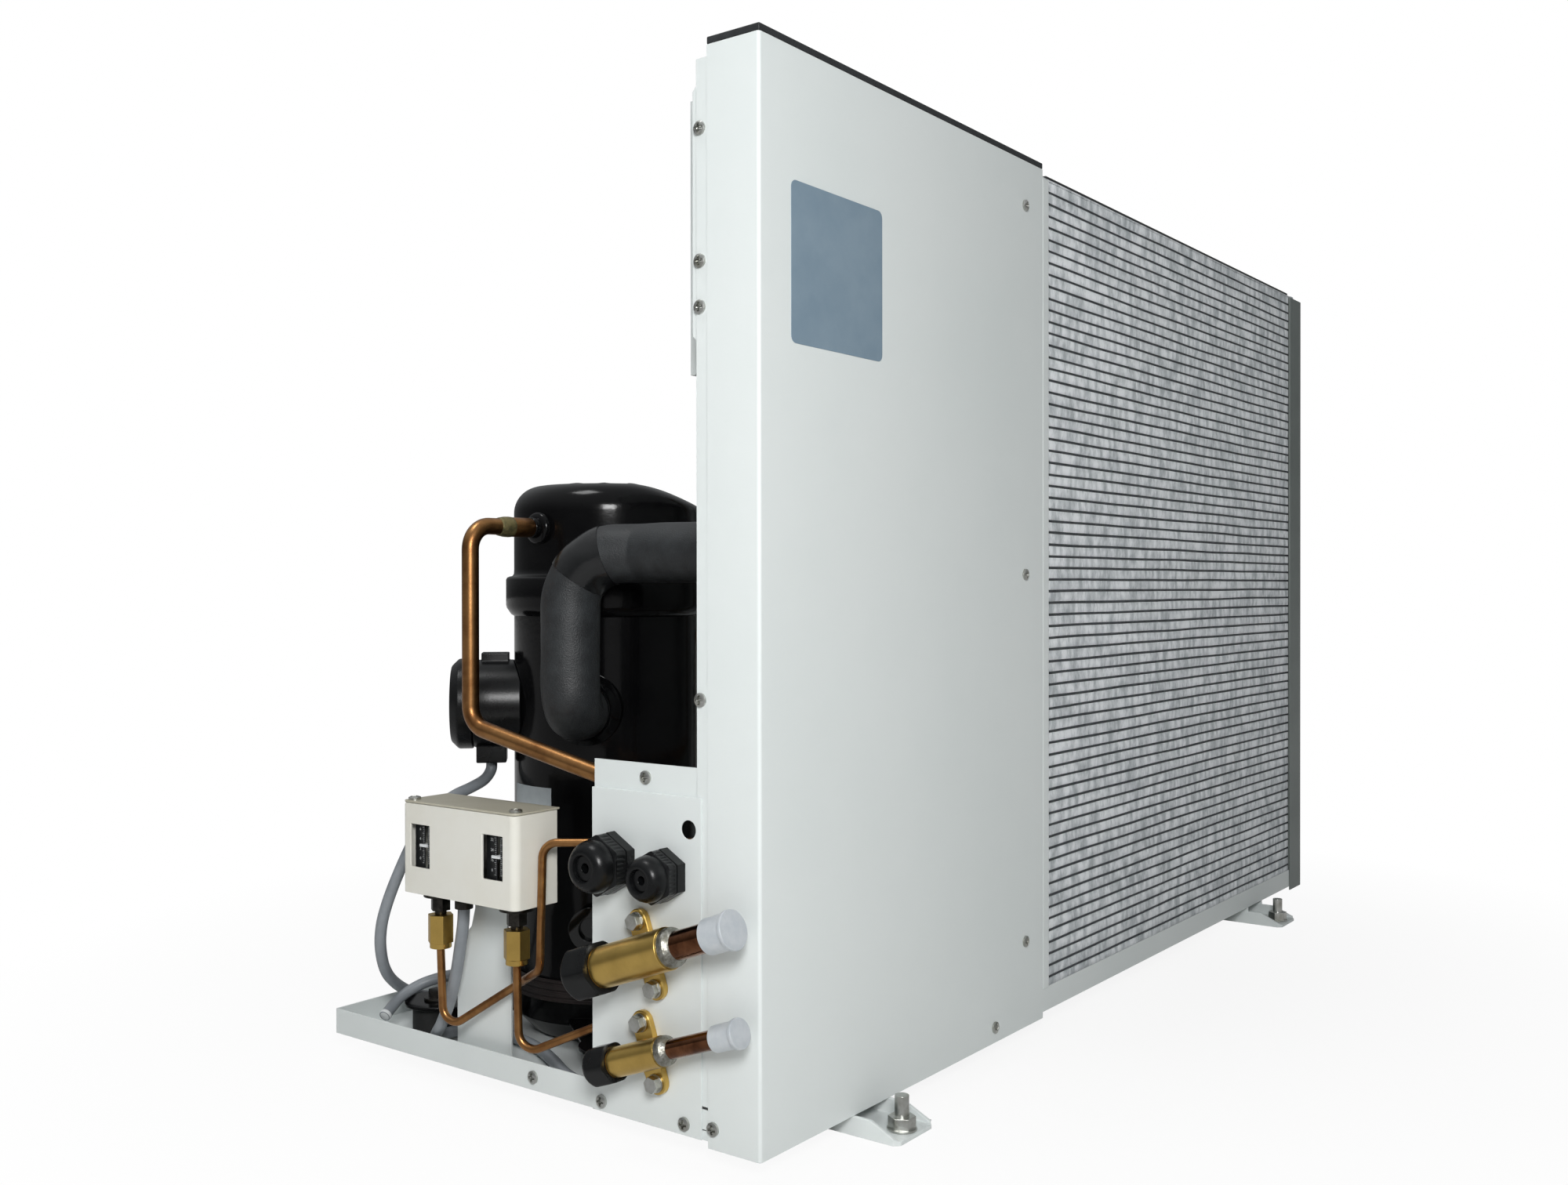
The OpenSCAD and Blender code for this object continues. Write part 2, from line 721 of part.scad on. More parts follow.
// Bare plates: one on the blank panel, one on the compressor shell
module label_plates() {
  label_z = comp_z + 178;
  label_h = 24;
  color("lightsteelblue") place() {
    box_at([plate_x, -plate_t, plate_z], [plate_x + plate_w, 0, plate_z + plate_h]);
    translate([comp_x, comp_y, label_z]) rotate([0, 0, 151])
      rotate_extrude(angle = 37) translate([shell_r + run_gap, 0]) square([plate_t, label_h]);
  }
}

// Flat tubes between two round headers, with the inlet and outlet stubs
module coil_core() {
  color("silver") place() {
    for (i = [0:tube_count - 1]) {
      z = coil_first_z + i * tube_pitch;
      box_at([tube_x1, coil_y, z - tube_t / 2], [tube_x2, coil_y2, z + tube_t / 2]);
    }
    for (z = [coil_bottom - side_plate_t, coil_top + tube_pitch - tube_t])
      box_at([header_x1, coil_y, z], [header_x2, coil_y2, z + side_plate_t]);
    for (x = [header_x1, header_x2]) translate([x, header_y, 0])
      bar_z(coil_bottom - side_plate_t - header_over, coil_top + tube_pitch + header_over, header_d / 2);
    for (z = [coil_port_low(), coil_port_high()]) translate([header_x1, 0, z])
      bar_y(header_y, header_y + header_d / 2 + 10, coil_port_d / 2);
  }
}

function coil_port_low() = coil_first_z + 6 * tube_pitch;
function coil_port_high() = coil_first_z + (tube_count - 6) * tube_pitch;

// Fin packs between the tubes
module coil_fins() {
  color("darkgray") place() for (i = [-1:tube_count - 1]) {
    z = coil_first_z + i * tube_pitch + tube_t / 2;
    box_at([tube_x1 + 4, coil_y + fin_inset, z],
      [tube_x2 - 4, coil_y2 - fin_inset, z + tube_pitch - tube_t]);
  }
}

// Sheet box behind the coil with the round inlet ring of the fan
module fan_shroud() {
  y2 = fan_plate_y;
  z1 = floor_z;
  color("whitesmoke") place() {
    difference() {
      union() {
        box_at([shroud_x1, y2 - sheet, z1], [shroud_x2, y2, shroud_top]);
        box_at([shroud_x1, shroud_y1, z1], [shroud_x1 + sheet, y2, shroud_top]);
        box_at([shroud_x2 - sheet, shroud_y1 + 6, z1], [shroud_x2, y2, shroud_top]);
        box_at([shroud_x1, shroud_y1, shroud_top - sheet], [shroud_x2, y2, shroud_top]);
        box_at([shroud_x1, shroud_y1, z1], [shroud_x2, y2, z1 + sheet]);
        translate([fan_x, 0, fan_z]) bar_y(y2 - ring_depth / 2, y2 + ring_depth / 2, ring_r + ring_t);
      }
      translate([fan_x, 0, fan_z]) bar_y(y2 - ring_depth, y2 + ring_depth, ring_r);
    }
    for (m = [0, 1]) translate([0, 0, z1]) {
      x = m == 0 ? shroud_x1 - shroud_lip : shroud_x2;
      box_at([x, y2 - sheet, 0], [x + shroud_lip - 2 * m * sheet, y2, shroud_top - z1]);
    }
  }
}

// Guard of flat rings and radial spokes, with legs back to the fan plate
module fan_guard() {
  y2 = fan_plate_y;
  first_r = motor_flange_r + 4;
  color("black") place() translate([fan_x, 0, fan_z]) {
    rotate([-90, 0, 0]) {
      for (i = [0:guard_rings]) {
        r = lerp(first_r, guard_r, i / guard_rings);
        translate([0, 0, guard_y]) difference() {
          cylinder(h = wire, r = r + wire / 2);
          translate([0, 0, -over]) cylinder(h = wire + 2 * over, r = r - wire / 2);
        }
      }
      for (k = [0:guard_spokes - 1]) rotate([0, 0, (k + 0.5) * 360 / guard_spokes]) {
        translate([first_r, -wire / 2, guard_y - wire / 2]) cube([guard_r - first_r, wire, wire]);
        translate([guard_r - wire / 2, -wire / 2, y2]) cube([wire, wire, guard_y - y2 + wire / 2]);
        translate([guard_r - wire, -wire * 2, y2]) cube([wire * 3, wire * 4, wire / 2]);
      }
      translate([0, 0, guard_y]) difference() {
        cylinder(h = wire, r = first_r);
        translate([0, 0, -over]) cylinder(h = wire + 2 * over, r = axle_r + 4);
      }
    }
  }
}

// Fixed part of the external rotor motor, with its axle
module fan_motor() {
  color("dimgray") place() translate([fan_x, 0, fan_z]) {
    bar_y(guard_y - motor_flange_t, guard_y, motor_flange_r);
    bar_y(hub_y + hub_wall + soft_gap, guard_y, axle_r);
    bar_y(guard_y, guard_y + wire + 6, axle_r + 4 - fit_gap);
    bar_y(guard_y - motor_flange_t - 14, guard_y - motor_flange_t, axle_r + 12);
  }
}

// One blade as a curved, twisted sheet from the hub to the tip
module blade() {
  r1 = hub_d / 2 - 2;
  r2 = fan_d / 2;
  cols = 6;
  function chord(s) = lerp(blade_root_w, blade_tip_w, s);
  function pitch(s) = lerp(blade_pitch_angle + 12, blade_pitch_angle - 10, s);
  function camber(t) = 0.07 * sin(180 * t);
  function place_on(s, t) =
    let (r = lerp(r1, r2, s), w = chord(s), c = (t - 0.5) * w, h = camber(t) * w,
      across = c * cos(pitch(s)) - h * sin(pitch(s)), along = c * sin(pitch(s)) * 0.62 + h * cos(pitch(s)),
      a = across / r * 180 / PI + 10 * s)
    [r * cos(a), r * sin(a), along];
  points = concat(
    [for (i = [0:blade_steps]) for (j = [0:cols]) place_on(i / blade_steps, j / cols) - [0, 0, blade_t / 2]],
    [for (i = [0:blade_steps]) for (j = [0:cols])
      place_on(i / blade_steps, j / cols) + [0, 0, blade_t / 2]]);
  row = cols + 1;
  top = (blade_steps + 1) * row;
  function quad(a, b, c, d) = [[c, b, a], [d, c, a]];
  faces = concat(
    [for (i = [0:blade_steps - 1]) for (j = [0:cols - 1]) let (a = i * row + j)
      each quad(a, a + 1, a + row + 1, a + row)],
    [for (i = [0:blade_steps - 1]) for (j = [0:cols - 1]) let (a = top + i * row + j)
      each quad(a, a + row, a + row + 1, a + 1)],
    [for (i = [0:blade_steps - 1]) let (a = i * row) each quad(a, a + row, a + row + top, a + top)],
    [for (i = [0:blade_steps - 1]) let (a = i * row + cols) each quad(a, a + top, a + row + top, a + row)],
    [for (j = [0:cols - 1]) let (a = j) each quad(a, a + top, a + 1 + top, a + 1)],
    [for (j = [0:cols - 1]) let (a = blade_steps * row + j) each quad(a, a + 1, a + 1 + top, a + top)]);
  polyhedron(points, faces);
}

// Rotor cup on its bearing bore, and the blades
module fan_rotor() {
  hub_r = hub_d / 2;
  color("black") place() translate([fan_x, 0, fan_z]) rotate([-90, 0, 0]) {
    difference() {
      translate([0, 0, hub_y]) cylinder(h = hub_depth, r = hub_r);
      translate([0, 0, hub_y + hub_wall]) cylinder(h = hub_depth, r = hub_r - hub_wall);
    }
    difference() {
      translate([0, 0, hub_y + hub_wall]) cylinder(h = hub_depth - hub_wall - 4, r = axle_r + 8);
      translate([0, 0, hub_y + hub_wall]) cylinder(h = hub_depth, r = axle_r + run_gap);
    }
    for (k = [0:blade_count - 1]) rotate([0, 0, k * 360 / blade_count])
      translate([0, 0, fan_plate_y - 10]) blade();
  }
}

// Open sheet box on the inside of the blank panel, with its end flange
module electrical_box() {
  flange_z1 = box_z + 9;
  flange_z2 = box_z + box_h;
  cut = 8;
  flange_reach = corner_post_w + 4;
  color("whitesmoke") place() {
    difference() {
      box_at([box_x, box_y, box_z], [box_x + box_w, box_y + box_depth, box_z + box_h]);
      box_at([box_x + sheet, box_y + sheet, box_z + sheet],
        [box_x + box_w - sheet, box_y + box_depth + over, box_z + box_h - sheet]);
    }
    for (k = [0:1]) translate([box_gland_x + k * box_gland_pitch, box_gland_y, 0])
      bar_z(box_z - 6, box_z, cable_d);
    difference() {
      translate([2 * sheet, 0, 0]) rotate([90, 0, 90]) linear_extrude(sheet) polygon([
        [2 * sheet + fit_gap, flange_z1], [flange_reach - cut, flange_z1], [flange_reach, flange_z1 + cut],
        [flange_reach, flange_z2 - cut], [flange_reach - cut, flange_z2], [2 * sheet + fit_gap, flange_z2]]);
      for (z = post_screw_zs) facing_minus_x(0, post_screw_y, z) bar_z(-screw_shank, over, screw_shank_r);
    }
    box_at([2 * sheet, box_y, flange_z1], [box_x, box_y + sheet, flange_z2]);
  }
}

module electrical_box_lid() {
  y1 = box_y + box_depth + soft_gap;
  out = sheet + soft_gap;
  color("whitesmoke") place() difference() {
    box_at([box_x - out, y1 - lid_lip, box_z - out], [box_x + box_w + out, y1 + sheet, box_z + box_h + out]);
    box_at([box_x - soft_gap, y1 - lid_lip - over, box_z - soft_gap],
      [box_x + box_w + soft_gap, y1, box_z + box_h + soft_gap]);
  }
}

// Contactor, terminal row and run capacitor on the back of the electrical box
module control_gear() {
  gear_drawn_w = 300;
  back = box_y + sheet;
  color("lightgray") place() {
    rail_z = box_z + box_h / 2;
    wide = box_w / gear_drawn_w;
    box_at([box_x + 14, back, rail_z - 17], [box_x + box_w - 14, back + 7, rail_z + 18]);
    box_at([box_x + 24 * wide, back + 7, rail_z - 38], [box_x + 70 * wide, back + 68, rail_z + 38]);
    box_at([box_x + 80 * wide, back + 7, rail_z - 34], [box_x + 126 * wide, back + 62, rail_z + 34]);
    for (k = [0:9]) box_at([box_x + (140 + 8 * k) * wide, back + 7, rail_z - 24],
      [box_x + (147 + 8 * k) * wide, back + 40, rail_z + 24]);
    translate([box_x + 252 * wide, back + 26, box_z + 14]) cylinder(h = 90, r = 18);
    box_at([box_x + 252 * wide - 10, back, box_z + 30], [box_x + 252 * wide + 10, back + 10, box_z + 90]);
  }
}

module comp() {
  place() translate([comp_x, comp_y, 0]) children();
}

// Shell with the ports for the suction pipe, the oil glass and the terminals
module compressor_shell() {
  z1 = shell_z1;
  z2 = belly_taper_z;
  color("black") comp() {
    difference() {
      union() {
        bar_z(z1, z2, shell_r);
        rotate([0, 0, suction_az]) translate([0, 0, suction_port_z])
          bar_x(shell_r - shell_t - 2, shell_r + suction_boss_len, suction_boss_r);
        rotate([0, 0, glass_az]) translate([0, 0, glass_z])
          bar_x(shell_r - shell_t - 4, shell_r + 6, glass_boss_r);
      }
      bar_z(z1 - over, z2 + over, shell_r - shell_t);
      rotate([0, 0, suction_az]) translate([0, 0, suction_port_z])
        bar_x(shell_r - 20, shell_r + suction_boss_len + over, suction_d / 2);
      rotate([0, 0, glass_az]) translate([0, 0, glass_z]) bar_x(shell_r - 20, shell_r + 6 + over, glass_r);
    }
  }
}

// Crown with its bulge, its slope to one side, its ribs and the discharge port
module compressor_cap() {
  t = shell_t;
  inner_top = crown_z - 5;
  color("black") comp() {
    difference() {
      union() {
        rotate_extrude() difference() {
          union() {
            polygon([[0, belly_taper_z], [shell_r, belly_taper_z], [belly_r, belly_z1],
              [belly_r, belly_z2], [0, belly_z2]]);
            translate([0, belly_z2]) square([shell_r, crown_z - crown_round - belly_z2]);
            translate([0, crown_z - crown_round]) square([crown_flat_r, crown_round]);
            translate([crown_flat_r, crown_z - crown_round]) intersection() {
              circle(crown_round);
              square(crown_round);
            }
          }
        }
        translate([0, 0, port_z]) bar_x(-port_out, -shell_r + 12, port_r);
        translate([0, 0, port_z]) bar_x(-shell_r - 6, -shell_r + 12, port_r + 4);
      }
      bar_z(belly_taper_z - over, inner_top - crown_round, shell_r - t);
      rotate([0, 0, -53]) translate([slope_start, -shell_d, crown_z]) rotate([0, slope_angle, 0])
        cube([shell_d, 2 * shell_d, shell_d]);
    }
    for (k = [0:2]) rotate([0, 0, 196 + 24 * k]) hull() {
      translate([crown_flat_r * 0.3, 0, crown_z - 2]) sphere(4, $fn = 20);
      translate([crown_flat_r * 0.95, 0, crown_z - 2]) sphere(4, $fn = 20);
    }
  }
}

// Bottom dish with four pressed legs
module compressor_base() {
  arm = foot_pitch / 2;
  t = shell_t;
  side = shell_r - 14;
  dish_r = shell_r + 1;
  color("black") comp() {
    difference() {
      union() {
        rotate_extrude() polygon([[0, dish_bottom], [side, dish_bottom], [dish_r, dish_bottom + 16],
          [dish_r, shell_z1], [0, shell_z1]]);
        translate([0, 0, leg_z]) linear_extrude(leg_t) for (k = [0:3]) rotate([0, 0, 90 * k]) {
          translate([arm, arm]) circle(leg_end_r);
          rotate([0, 0, 45]) polygon([[0, -leg_root_w / 2], [shell_r, -leg_root_w / 2],
            [arm * sqrt(2), -leg_tip_w / 2], [arm * sqrt(2), leg_tip_w / 2], [shell_r, leg_root_w / 2],
            [0, leg_root_w / 2]]);
        }
      }
      rotate_extrude() polygon([[0, dish_bottom + t], [side - 2, dish_bottom + t],
        [dish_r - t, dish_bottom + 17], [dish_r - t, shell_z1 + over], [0, shell_z1 + over]]);
      for (k = [0:3]) rotate([0, 0, 90 * k]) translate([arm, arm, leg_z - over])
        cylinder(h = leg_t + 2 * over, r = leg_hole_r);
    }
  }
}

module compressor_grommets() {
  arm = foot_pitch / 2;
  sleeve_r = 5;
  color("dimgray") comp() for (sx = [-1, 1]) for (sy = [-1, 1])
    translate([sx * arm, sy * arm, 0]) difference() {
    union() {
      bar_z(floor_z, leg_z, grommet_d / 2);
      bar_z(leg_z, leg_z + leg_t, leg_hole_r);
    }
    bar_z(floor_z - over, leg_z + leg_t + over, sleeve_r);
  }
}

// Bolts of the compressor feet and of the service valves
module hex_bolts() {
  arm = foot_pitch / 2;
  sleeve_r = 5;
  head_z = leg_z + leg_t;
  valves = [[suction_valve_at, suction_ear_pitch], [liquid_valve_at, liquid_ear_pitch]];
  color("silver") {
    comp() for (sx = [-1, 1]) for (sy = [-1, 1]) translate([sx * arm, sy * arm, 0]) {
      bar_z(floor_z, head_z, sleeve_r);
      bar_z(head_z, head_z + 2, washer_r);
      hex_z(head_z + 2, head_z + 8, 13);
    }
    place() for (v = valves) for (s = [-1, 1]) translate([0, v[0].x, v[0].y]) rotate([-valve_tilt, 0, 0])
      translate([0, 0, s * v[1] / 2]) {
        bar_x(-ear_t, 3 * sheet + 4, m6_r);
        bar_x(-ear_t - m6_washer_t, -ear_t, m6_washer_r);
        hex_x(-ear_t - m6_washer_t - m6_head_t, -ear_t - m6_washer_t, m6_head_af);
        hex_x(sheet, sheet + 4, m6_head_af);
      }
  }
}

// Belt heater round the foot of the shell, with its clamp
module crankcase_heater() {
  r = shell_r + heater_t + 1;
  color("gray") comp() {
    rotate_extrude() difference() {
      translate([shell_r + 1, heater_z - 4]) square([heater_t, heater_h]);
      for (k = [0:2]) translate([r, heater_z - 4 + (k + 0.5) * heater_h / 3]) circle(1.2);
    }
    rotate([0, 0, terminal_az]) box_at([r - 0.5, -6, heater_z], [r + 6, 6, heater_z + 8]);
  }
}

// Round terminal box with its cable boot underneath
module terminal_box() {
  z = terminal_z;
  r = terminal_d / 2;
  out = shell_r + terminal_len - terminal_cover_len;
  color("black") {
    comp() rotate([0, 0, terminal_az]) translate([0, 0, z]) {
      difference() {
        union() {
          bar_x(shell_r - 6, out, r);
          box_at([shell_r + 4, -9, r - 4], [out - 6, 9, r + 6]);
        }
        bar_x(shell_r + 4, out + over, r - terminal_wall);
        translate([0, 0, -z]) bar_z(z - terminal_d, z + terminal_d, shell_r);
      }
      for (k = [0:2]) rotate([120 * k, 0, 0]) translate([0, 0, 10]) bar_x(shell_r + 0.2, shell_r + 16, 3);
    }
    comp() rotate([0, 0, terminal_az]) translate([0, 0, z - r - 12])
      box_at([shell_r + 6, -12, 0], [out - 2, 12, 16]);
  }
}

module terminal_box_cover() {
  z = terminal_z;
  r = terminal_d / 2 + 1;
  x1 = shell_r + terminal_len - terminal_cover_len + soft_gap;
  x2 = shell_r + terminal_len;
  dish = 6;
  color("black") comp() rotate([0, 0, terminal_az]) translate([0, 0, z]) rotate([0, 90, 0]) difference() {
    union() {
      translate([0, 0, x1]) cylinder(h = x2 - x1 - dish, r = r);
      translate([0, 0, x2 - dish]) cylinder(h = dish, r1 = r, r2 = r - dish);
    }
    translate([0, 0, x1 - over]) cylinder(h = x2 - x1 - dish, r = r - terminal_wall - 1);
  }
}

module motor_stator() {
  r = shell_r - shell_t;
  color("peru") comp() {
    difference() {
      bar_z(stator_z, stator_z + stator_h, r);
      bar_z(stator_z - over, stator_z + stator_h + over, rotor_r + rotor_gap);
    }
    for (z = [stator_z - 14, stator_z + stator_h]) difference() {
      bar_z(z, z + 14, r - 10);
      bar_z(z - over, z + 14 + over, rotor_r + 6);
    }
    difference() {
      bar_z(shaft_bottom + 6, shaft_bottom + 14, r);
      bar_z(shaft_bottom + 6 - over, shaft_bottom + 14 + over, shaft_r + run_gap);
    }
  }
}

// Motor rotor on the crankshaft with its eccentric pin
module motor_rotor() {
  color("silver") comp() {
    bar_z(stator_z, stator_z + stator_h, rotor_r);
    bar_z(shaft_bottom, main_frame_z + main_frame_t, shaft_r);
    translate([orbit_r, 0, 0]) bar_z(main_frame_z + main_frame_t, scroll_z + pin_h, pin_r - run_gap);
  }
}

// Spiral wall points: both flanks of one scroll wrap
function wrap_r(a) = scroll_start_r + scroll_pitch * a / 360;
function wrap_points(half) =
  let (n = scroll_turns * 24)
  concat(
    [for (i = [0:n]) let (a = i * 15, r = wrap_r(a) + half) [r * cos(a), r * sin(a)]],
    [for (i = [n:-1:0]) let (a = i * 15, r = wrap_r(a) - half) [r * cos(a), r * sin(a)]]);

// Main bearing frame and the fixed scroll above it
module scroll_housing() {
  r = shell_r - shell_t;
  plate_z = scroll_z + scroll_hub() + scroll_plate_t;
  color("slategray") comp() {
    difference() {
      bar_z(main_frame_z, main_frame_z + main_frame_t, r);
      bar_z(main_frame_z - over, main_frame_z + main_frame_t + over, shaft_r + run_gap);
    }
    difference() {
      bar_z(main_frame_z + main_frame_t, plate_z + scroll_wrap_h + soft_gap + scroll_plate_t, r);
      bar_z(main_frame_z + main_frame_t - over, plate_z + scroll_wrap_h + soft_gap,
        scroll_plate_r + orbit_r + 2);
    }
    translate([0, 0, plate_z + soft_gap]) rotate([0, 0, 180]) linear_extrude(scroll_wrap_h)
      polygon(wrap_points(scroll_wrap_t / 2));
  }
}

function scroll_hub() = pin_h + 1;

// Orbiting scroll: hub on the crank pin, plate and wrap
module orbiting_scroll() {
  z = scroll_z;
  color("lightgray") comp() translate([orbit_r, 0, 0]) {
    difference() {
      union() {
        bar_z(z, z + scroll_hub(), pin_r + hub_wall_t);
        bar_z(z + scroll_hub(), z + scroll_hub() + scroll_plate_t, scroll_plate_r);
      }
      bar_z(z - over, z + pin_h + soft_gap, pin_r);
    }
    translate([0, 0, z + scroll_hub() + scroll_plate_t]) linear_extrude(scroll_wrap_h)
      polygon(wrap_points(scroll_wrap_t / 2));
  }
}

// Glass and its steel ring in the shell's oil port
module oil_sight_glass() {
  color("dimgray") comp() rotate([0, 0, glass_az]) translate([0, 0, glass_z]) {
    difference() {
      bar_x(shell_r - shell_t, shell_r + 10, glass_r);
      bar_x(shell_r + 5, shell_r + 10 + over, glass_r - 3);
    }
    difference() {
      bar_x(shell_r + 6, shell_r + 10, glass_r + 5);
      bar_x(shell_r + 6 - over, shell_r + 10 + over, glass_r);
    }
  }
}

// Places that the pipes share
discharge_x = 4;
discharge_bend = 18;
socket_len = 24;
discharge_low = tray_z + 258;
panel_pass = [18, service_y + 63, tray_z + 219];
coil_high_port = [header_x1, header_y + header_d / 2 + 10, coil_port_high()];
coil_low_port = [header_x1, header_y + header_d / 2 + 10, coil_port_low()];
riser = [74, 66];
foam_run_z = floor_z + 384;
foam_corner = [50, 217];
boss_face = shell_r + suction_boss_len;
boss_dir = [cos(suction_az), sin(suction_az), 0];
boss_at = [comp_x, comp_y, suction_port_z] + boss_face * boss_dir;
valve_pipe_in = 30;
straight_in = 8;
tee_gap = 0.6;

module discharge_pipe() {
  up_x = header_x1 - discharge_d - 5;
  start_x = comp_x - port_out - run_gap;
  color("peru") place() {
    bent_pipe([
      [start_x, comp_y, port_z],
      [discharge_x, comp_y, port_z],
      [discharge_x, comp_y, discharge_low],
      panel_pass,
      [panel_pass.x + 24, panel_pass.y, panel_pass.z - 6],
      [up_x, panel_pass.y, panel_pass.z - 6],
      [up_x, panel_pass.y, coil_high_port.z],
      [coil_high_port.x, panel_pass.y - 34, coil_high_port.z],
      coil_high_port,
    ], discharge_d / 2, discharge_bend);
    translate([start_x, comp_y, port_z]) difference() {
      bar_x(-socket_len, -run_gap, discharge_d / 2 + 1.2);
      bar_x(-socket_len - over, over, discharge_d / 2 + run_gap);
    }
  }
}

// Suction pipe inside its insulation, and the two liquid pipes
module inner_pipes() {
  v = suction_valve_at;
  l = liquid_valve_at;
  color("peru") place() {
    bent_pipe(suction_points(), suction_d / 2, suction_bend);
    bent_pipe([
      [-liquid_out + liquid_barrel_r, l.x, l.y],
      [valve_pipe_in, l.x, l.y],
      [valve_pipe_in + 60, l.x - 30, l.y - 14],
      [receiver_x - 30, l.x - 30, l.y - 14],
      [receiver_x, receiver_y - receiver_r - 40, receiver_z + 36],
      [receiver_x, receiver_y - receiver_r, receiver_z + 36],
    ], liquid_d / 2, 16);
    bent_pipe([
      coil_low_port,
      [coil_low_port.x, coil_low_port.y + 60, coil_low_port.z],
      [receiver_x + 30, receiver_y - receiver_r - 50, coil_low_port.z + 120],
      [receiver_x + 30, receiver_y - receiver_r - 50, receiver_top - 70],
      [receiver_x + 30, receiver_y - sqrt(pow(receiver_r, 2) - pow(30 - liquid_d / 2, 2)),
        receiver_top - 70],
    ], liquid_d / 2, 16);
  }
}

suction_bend = 26;
foam_end_gap = 0.8;
function suction_points() = [
  [-suction_out + suction_barrel_r, suction_valve_at.x, suction_valve_at.y],
  [straight_in, suction_valve_at.x, suction_valve_at.y],
  [riser.x, riser.y + 20, suction_valve_at.y],
  [riser.x, riser.y, suction_valve_at.y + 92],
  [riser.x, riser.y, foam_run_z],
  [riser.x, foam_corner.y - 50, foam_run_z],
  [foam_corner.x, foam_corner.y, foam_run_z],
  [foam_corner.x, foam_corner.y, suction_port_z],
  boss_at - boss_dir * 10,
];

module suction_insulation() {
  pts = suction_points();
  foam = [[riser.x, riser.y, suction_valve_at.y + 130], pts[4], pts[5], pts[6], pts[7],
    boss_at + boss_dir * foam_end_gap];
  color("black") place()
    bent_pipe(foam, insulation_d / 2, suction_bend, 2 * pipe_sides, suction_d / 2 + soft_gap);
}

// Upright receiver on a foot ring, with its valve body on the crown
module receiver() {
  r = receiver_r;
  t = receiver_wall;
  color("black") place() translate([receiver_x, receiver_y, 0]) {
    difference() {
      rotate_extrude() union() {
        translate([0, receiver_z]) square([r, receiver_top - receiver_round - receiver_z]);
        translate([0, receiver_top - receiver_round]) square([r - receiver_round, receiver_round]);
        translate([r - receiver_round, receiver_top - receiver_round]) intersection() {
          circle(receiver_round);
          square(receiver_round);
        }
      }
      bar_z(receiver_z - over, receiver_top - receiver_round, r - t);
    }
    bar_z(floor_z + 8, receiver_z, r - 6);
    difference() {
      bar_z(floor_z, floor_z + 8, r - 2);
      bar_z(floor_z - over, floor_z + 8 + over, r - 16);
    }
    bar_z(receiver_top, receiver_top + 22, liquid_barrel_r);
    bar_z(receiver_top + 22, receiver_top + 22 + 4, stem_r);
    hex_z(receiver_top, receiver_top + 8, liquid_cap_af);
  }
}

// Closed hex cap over a round nose, its open end at Z = 0
module hex_cap(af, length, bore) {
  difference() {
    union() {
      cylinder(h = length * 0.7, d = af / cos(30), $fn = 6);
      translate([0, 0, length * 0.7]) cylinder(h = length * 0.3, r1 = af / 2 + 1.4, r2 = af / 2 - 1.5);
    }
    translate([0, 0, -over]) cylinder(h = length - cap_wall + over, r = bore);
  }
}

module receiver_valve_cap() {
  color("black") place() translate([receiver_x, receiver_y, receiver_top + 8 + soft_gap])
    hex_cap(liquid_cap_af, liquid_cap_len + 4, liquid_barrel_r + 2 * run_gap);
}

module at_valve(at, out) {
  place() translate([-out, at.x, at.y]) rotate([-valve_tilt, 0, 0]) children();
}

// Brass service valve: barrel with a nose and a socket, ears on the panel
module valve_body(out, barrel_r, nose, ring_at, ear_pitch, stub_r, pipe_r) {
  nose_r = barrel_r - 1.1;
  difference() {
    union() {
      bar_y(-ring_at, nose, barrel_r);
      bar_y(nose, nose + nose_len(nose), nose_r);
      bar_y(-ring_at - ring_w, -ring_at, stub_r + 3);
      bar_x(0, out, barrel_r - 1);
      box_at([out - ear_t, -ear_r, -ear_pitch / 2], [out, ear_r, ear_pitch / 2]);
      for (s = [-1, 1]) translate([out - ear_t, 0, s * ear_pitch / 2]) rotate([0, 90, 0])
        cylinder(h = ear_t, r = ear_r);
    }
    bar_y(-ring_at - ring_w - over, -ring_at + 12, stub_r);
    bar_x(barrel_r, out + over, pipe_r + run_gap);
    bar_y(nose - 8, nose + nose_len(nose) + over, stem_r + run_gap);
    for (s = [-1, 1]) translate([out - ear_t - over, 0, s * ear_pitch / 2]) rotate([0, 90, 0])
      cylinder(h = ear_t + 2 * over, r = m6_r);
  }
}

function nose_len(nose) = nose * 0.5;

module valve_bodies() {
  color("goldenrod") {
    at_valve(suction_valve_at, suction_out) valve_body(suction_out, suction_barrel_r, suction_nose,
      suction_ring_at, suction_ear_pitch, suction_stub_d / 2, suction_d / 2);
    at_valve(liquid_valve_at, liquid_out) valve_body(liquid_out, liquid_barrel_r, liquid_nose,
      liquid_ring_at, liquid_ear_pitch, liquid_stub_d / 2, liquid_d / 2);
  }
}

module stub(ring_at, length, r) {
  difference() {
    bar_y(-length, -ring_at + 12, r);
    bar_y(-length - over, -ring_at + 12 + over, r - pipe_wall);
  }
}

module valve_stubs() {
  color("saddlebrown") {
    at_valve(suction_valve_at, suction_out) stub(suction_ring_at, suction_stub_len, suction_stub_d / 2);
    at_valve(liquid_valve_at, liquid_out) stub(liquid_ring_at, liquid_stub_len, liquid_stub_d / 2);
  }
}

module valve_cap(nose, barrel_r, af, length) {
  translate([0, nose + soft_gap, 0]) rotate([-90, 0, 0])
    hex_cap(af, length, barrel_r - 1.1 + 2 * run_gap);
}

module suction_valve_cap() {
  color("black") at_valve(suction_valve_at, suction_out)
    valve_cap(suction_nose, suction_barrel_r, suction_cap_af, suction_cap_len);
}

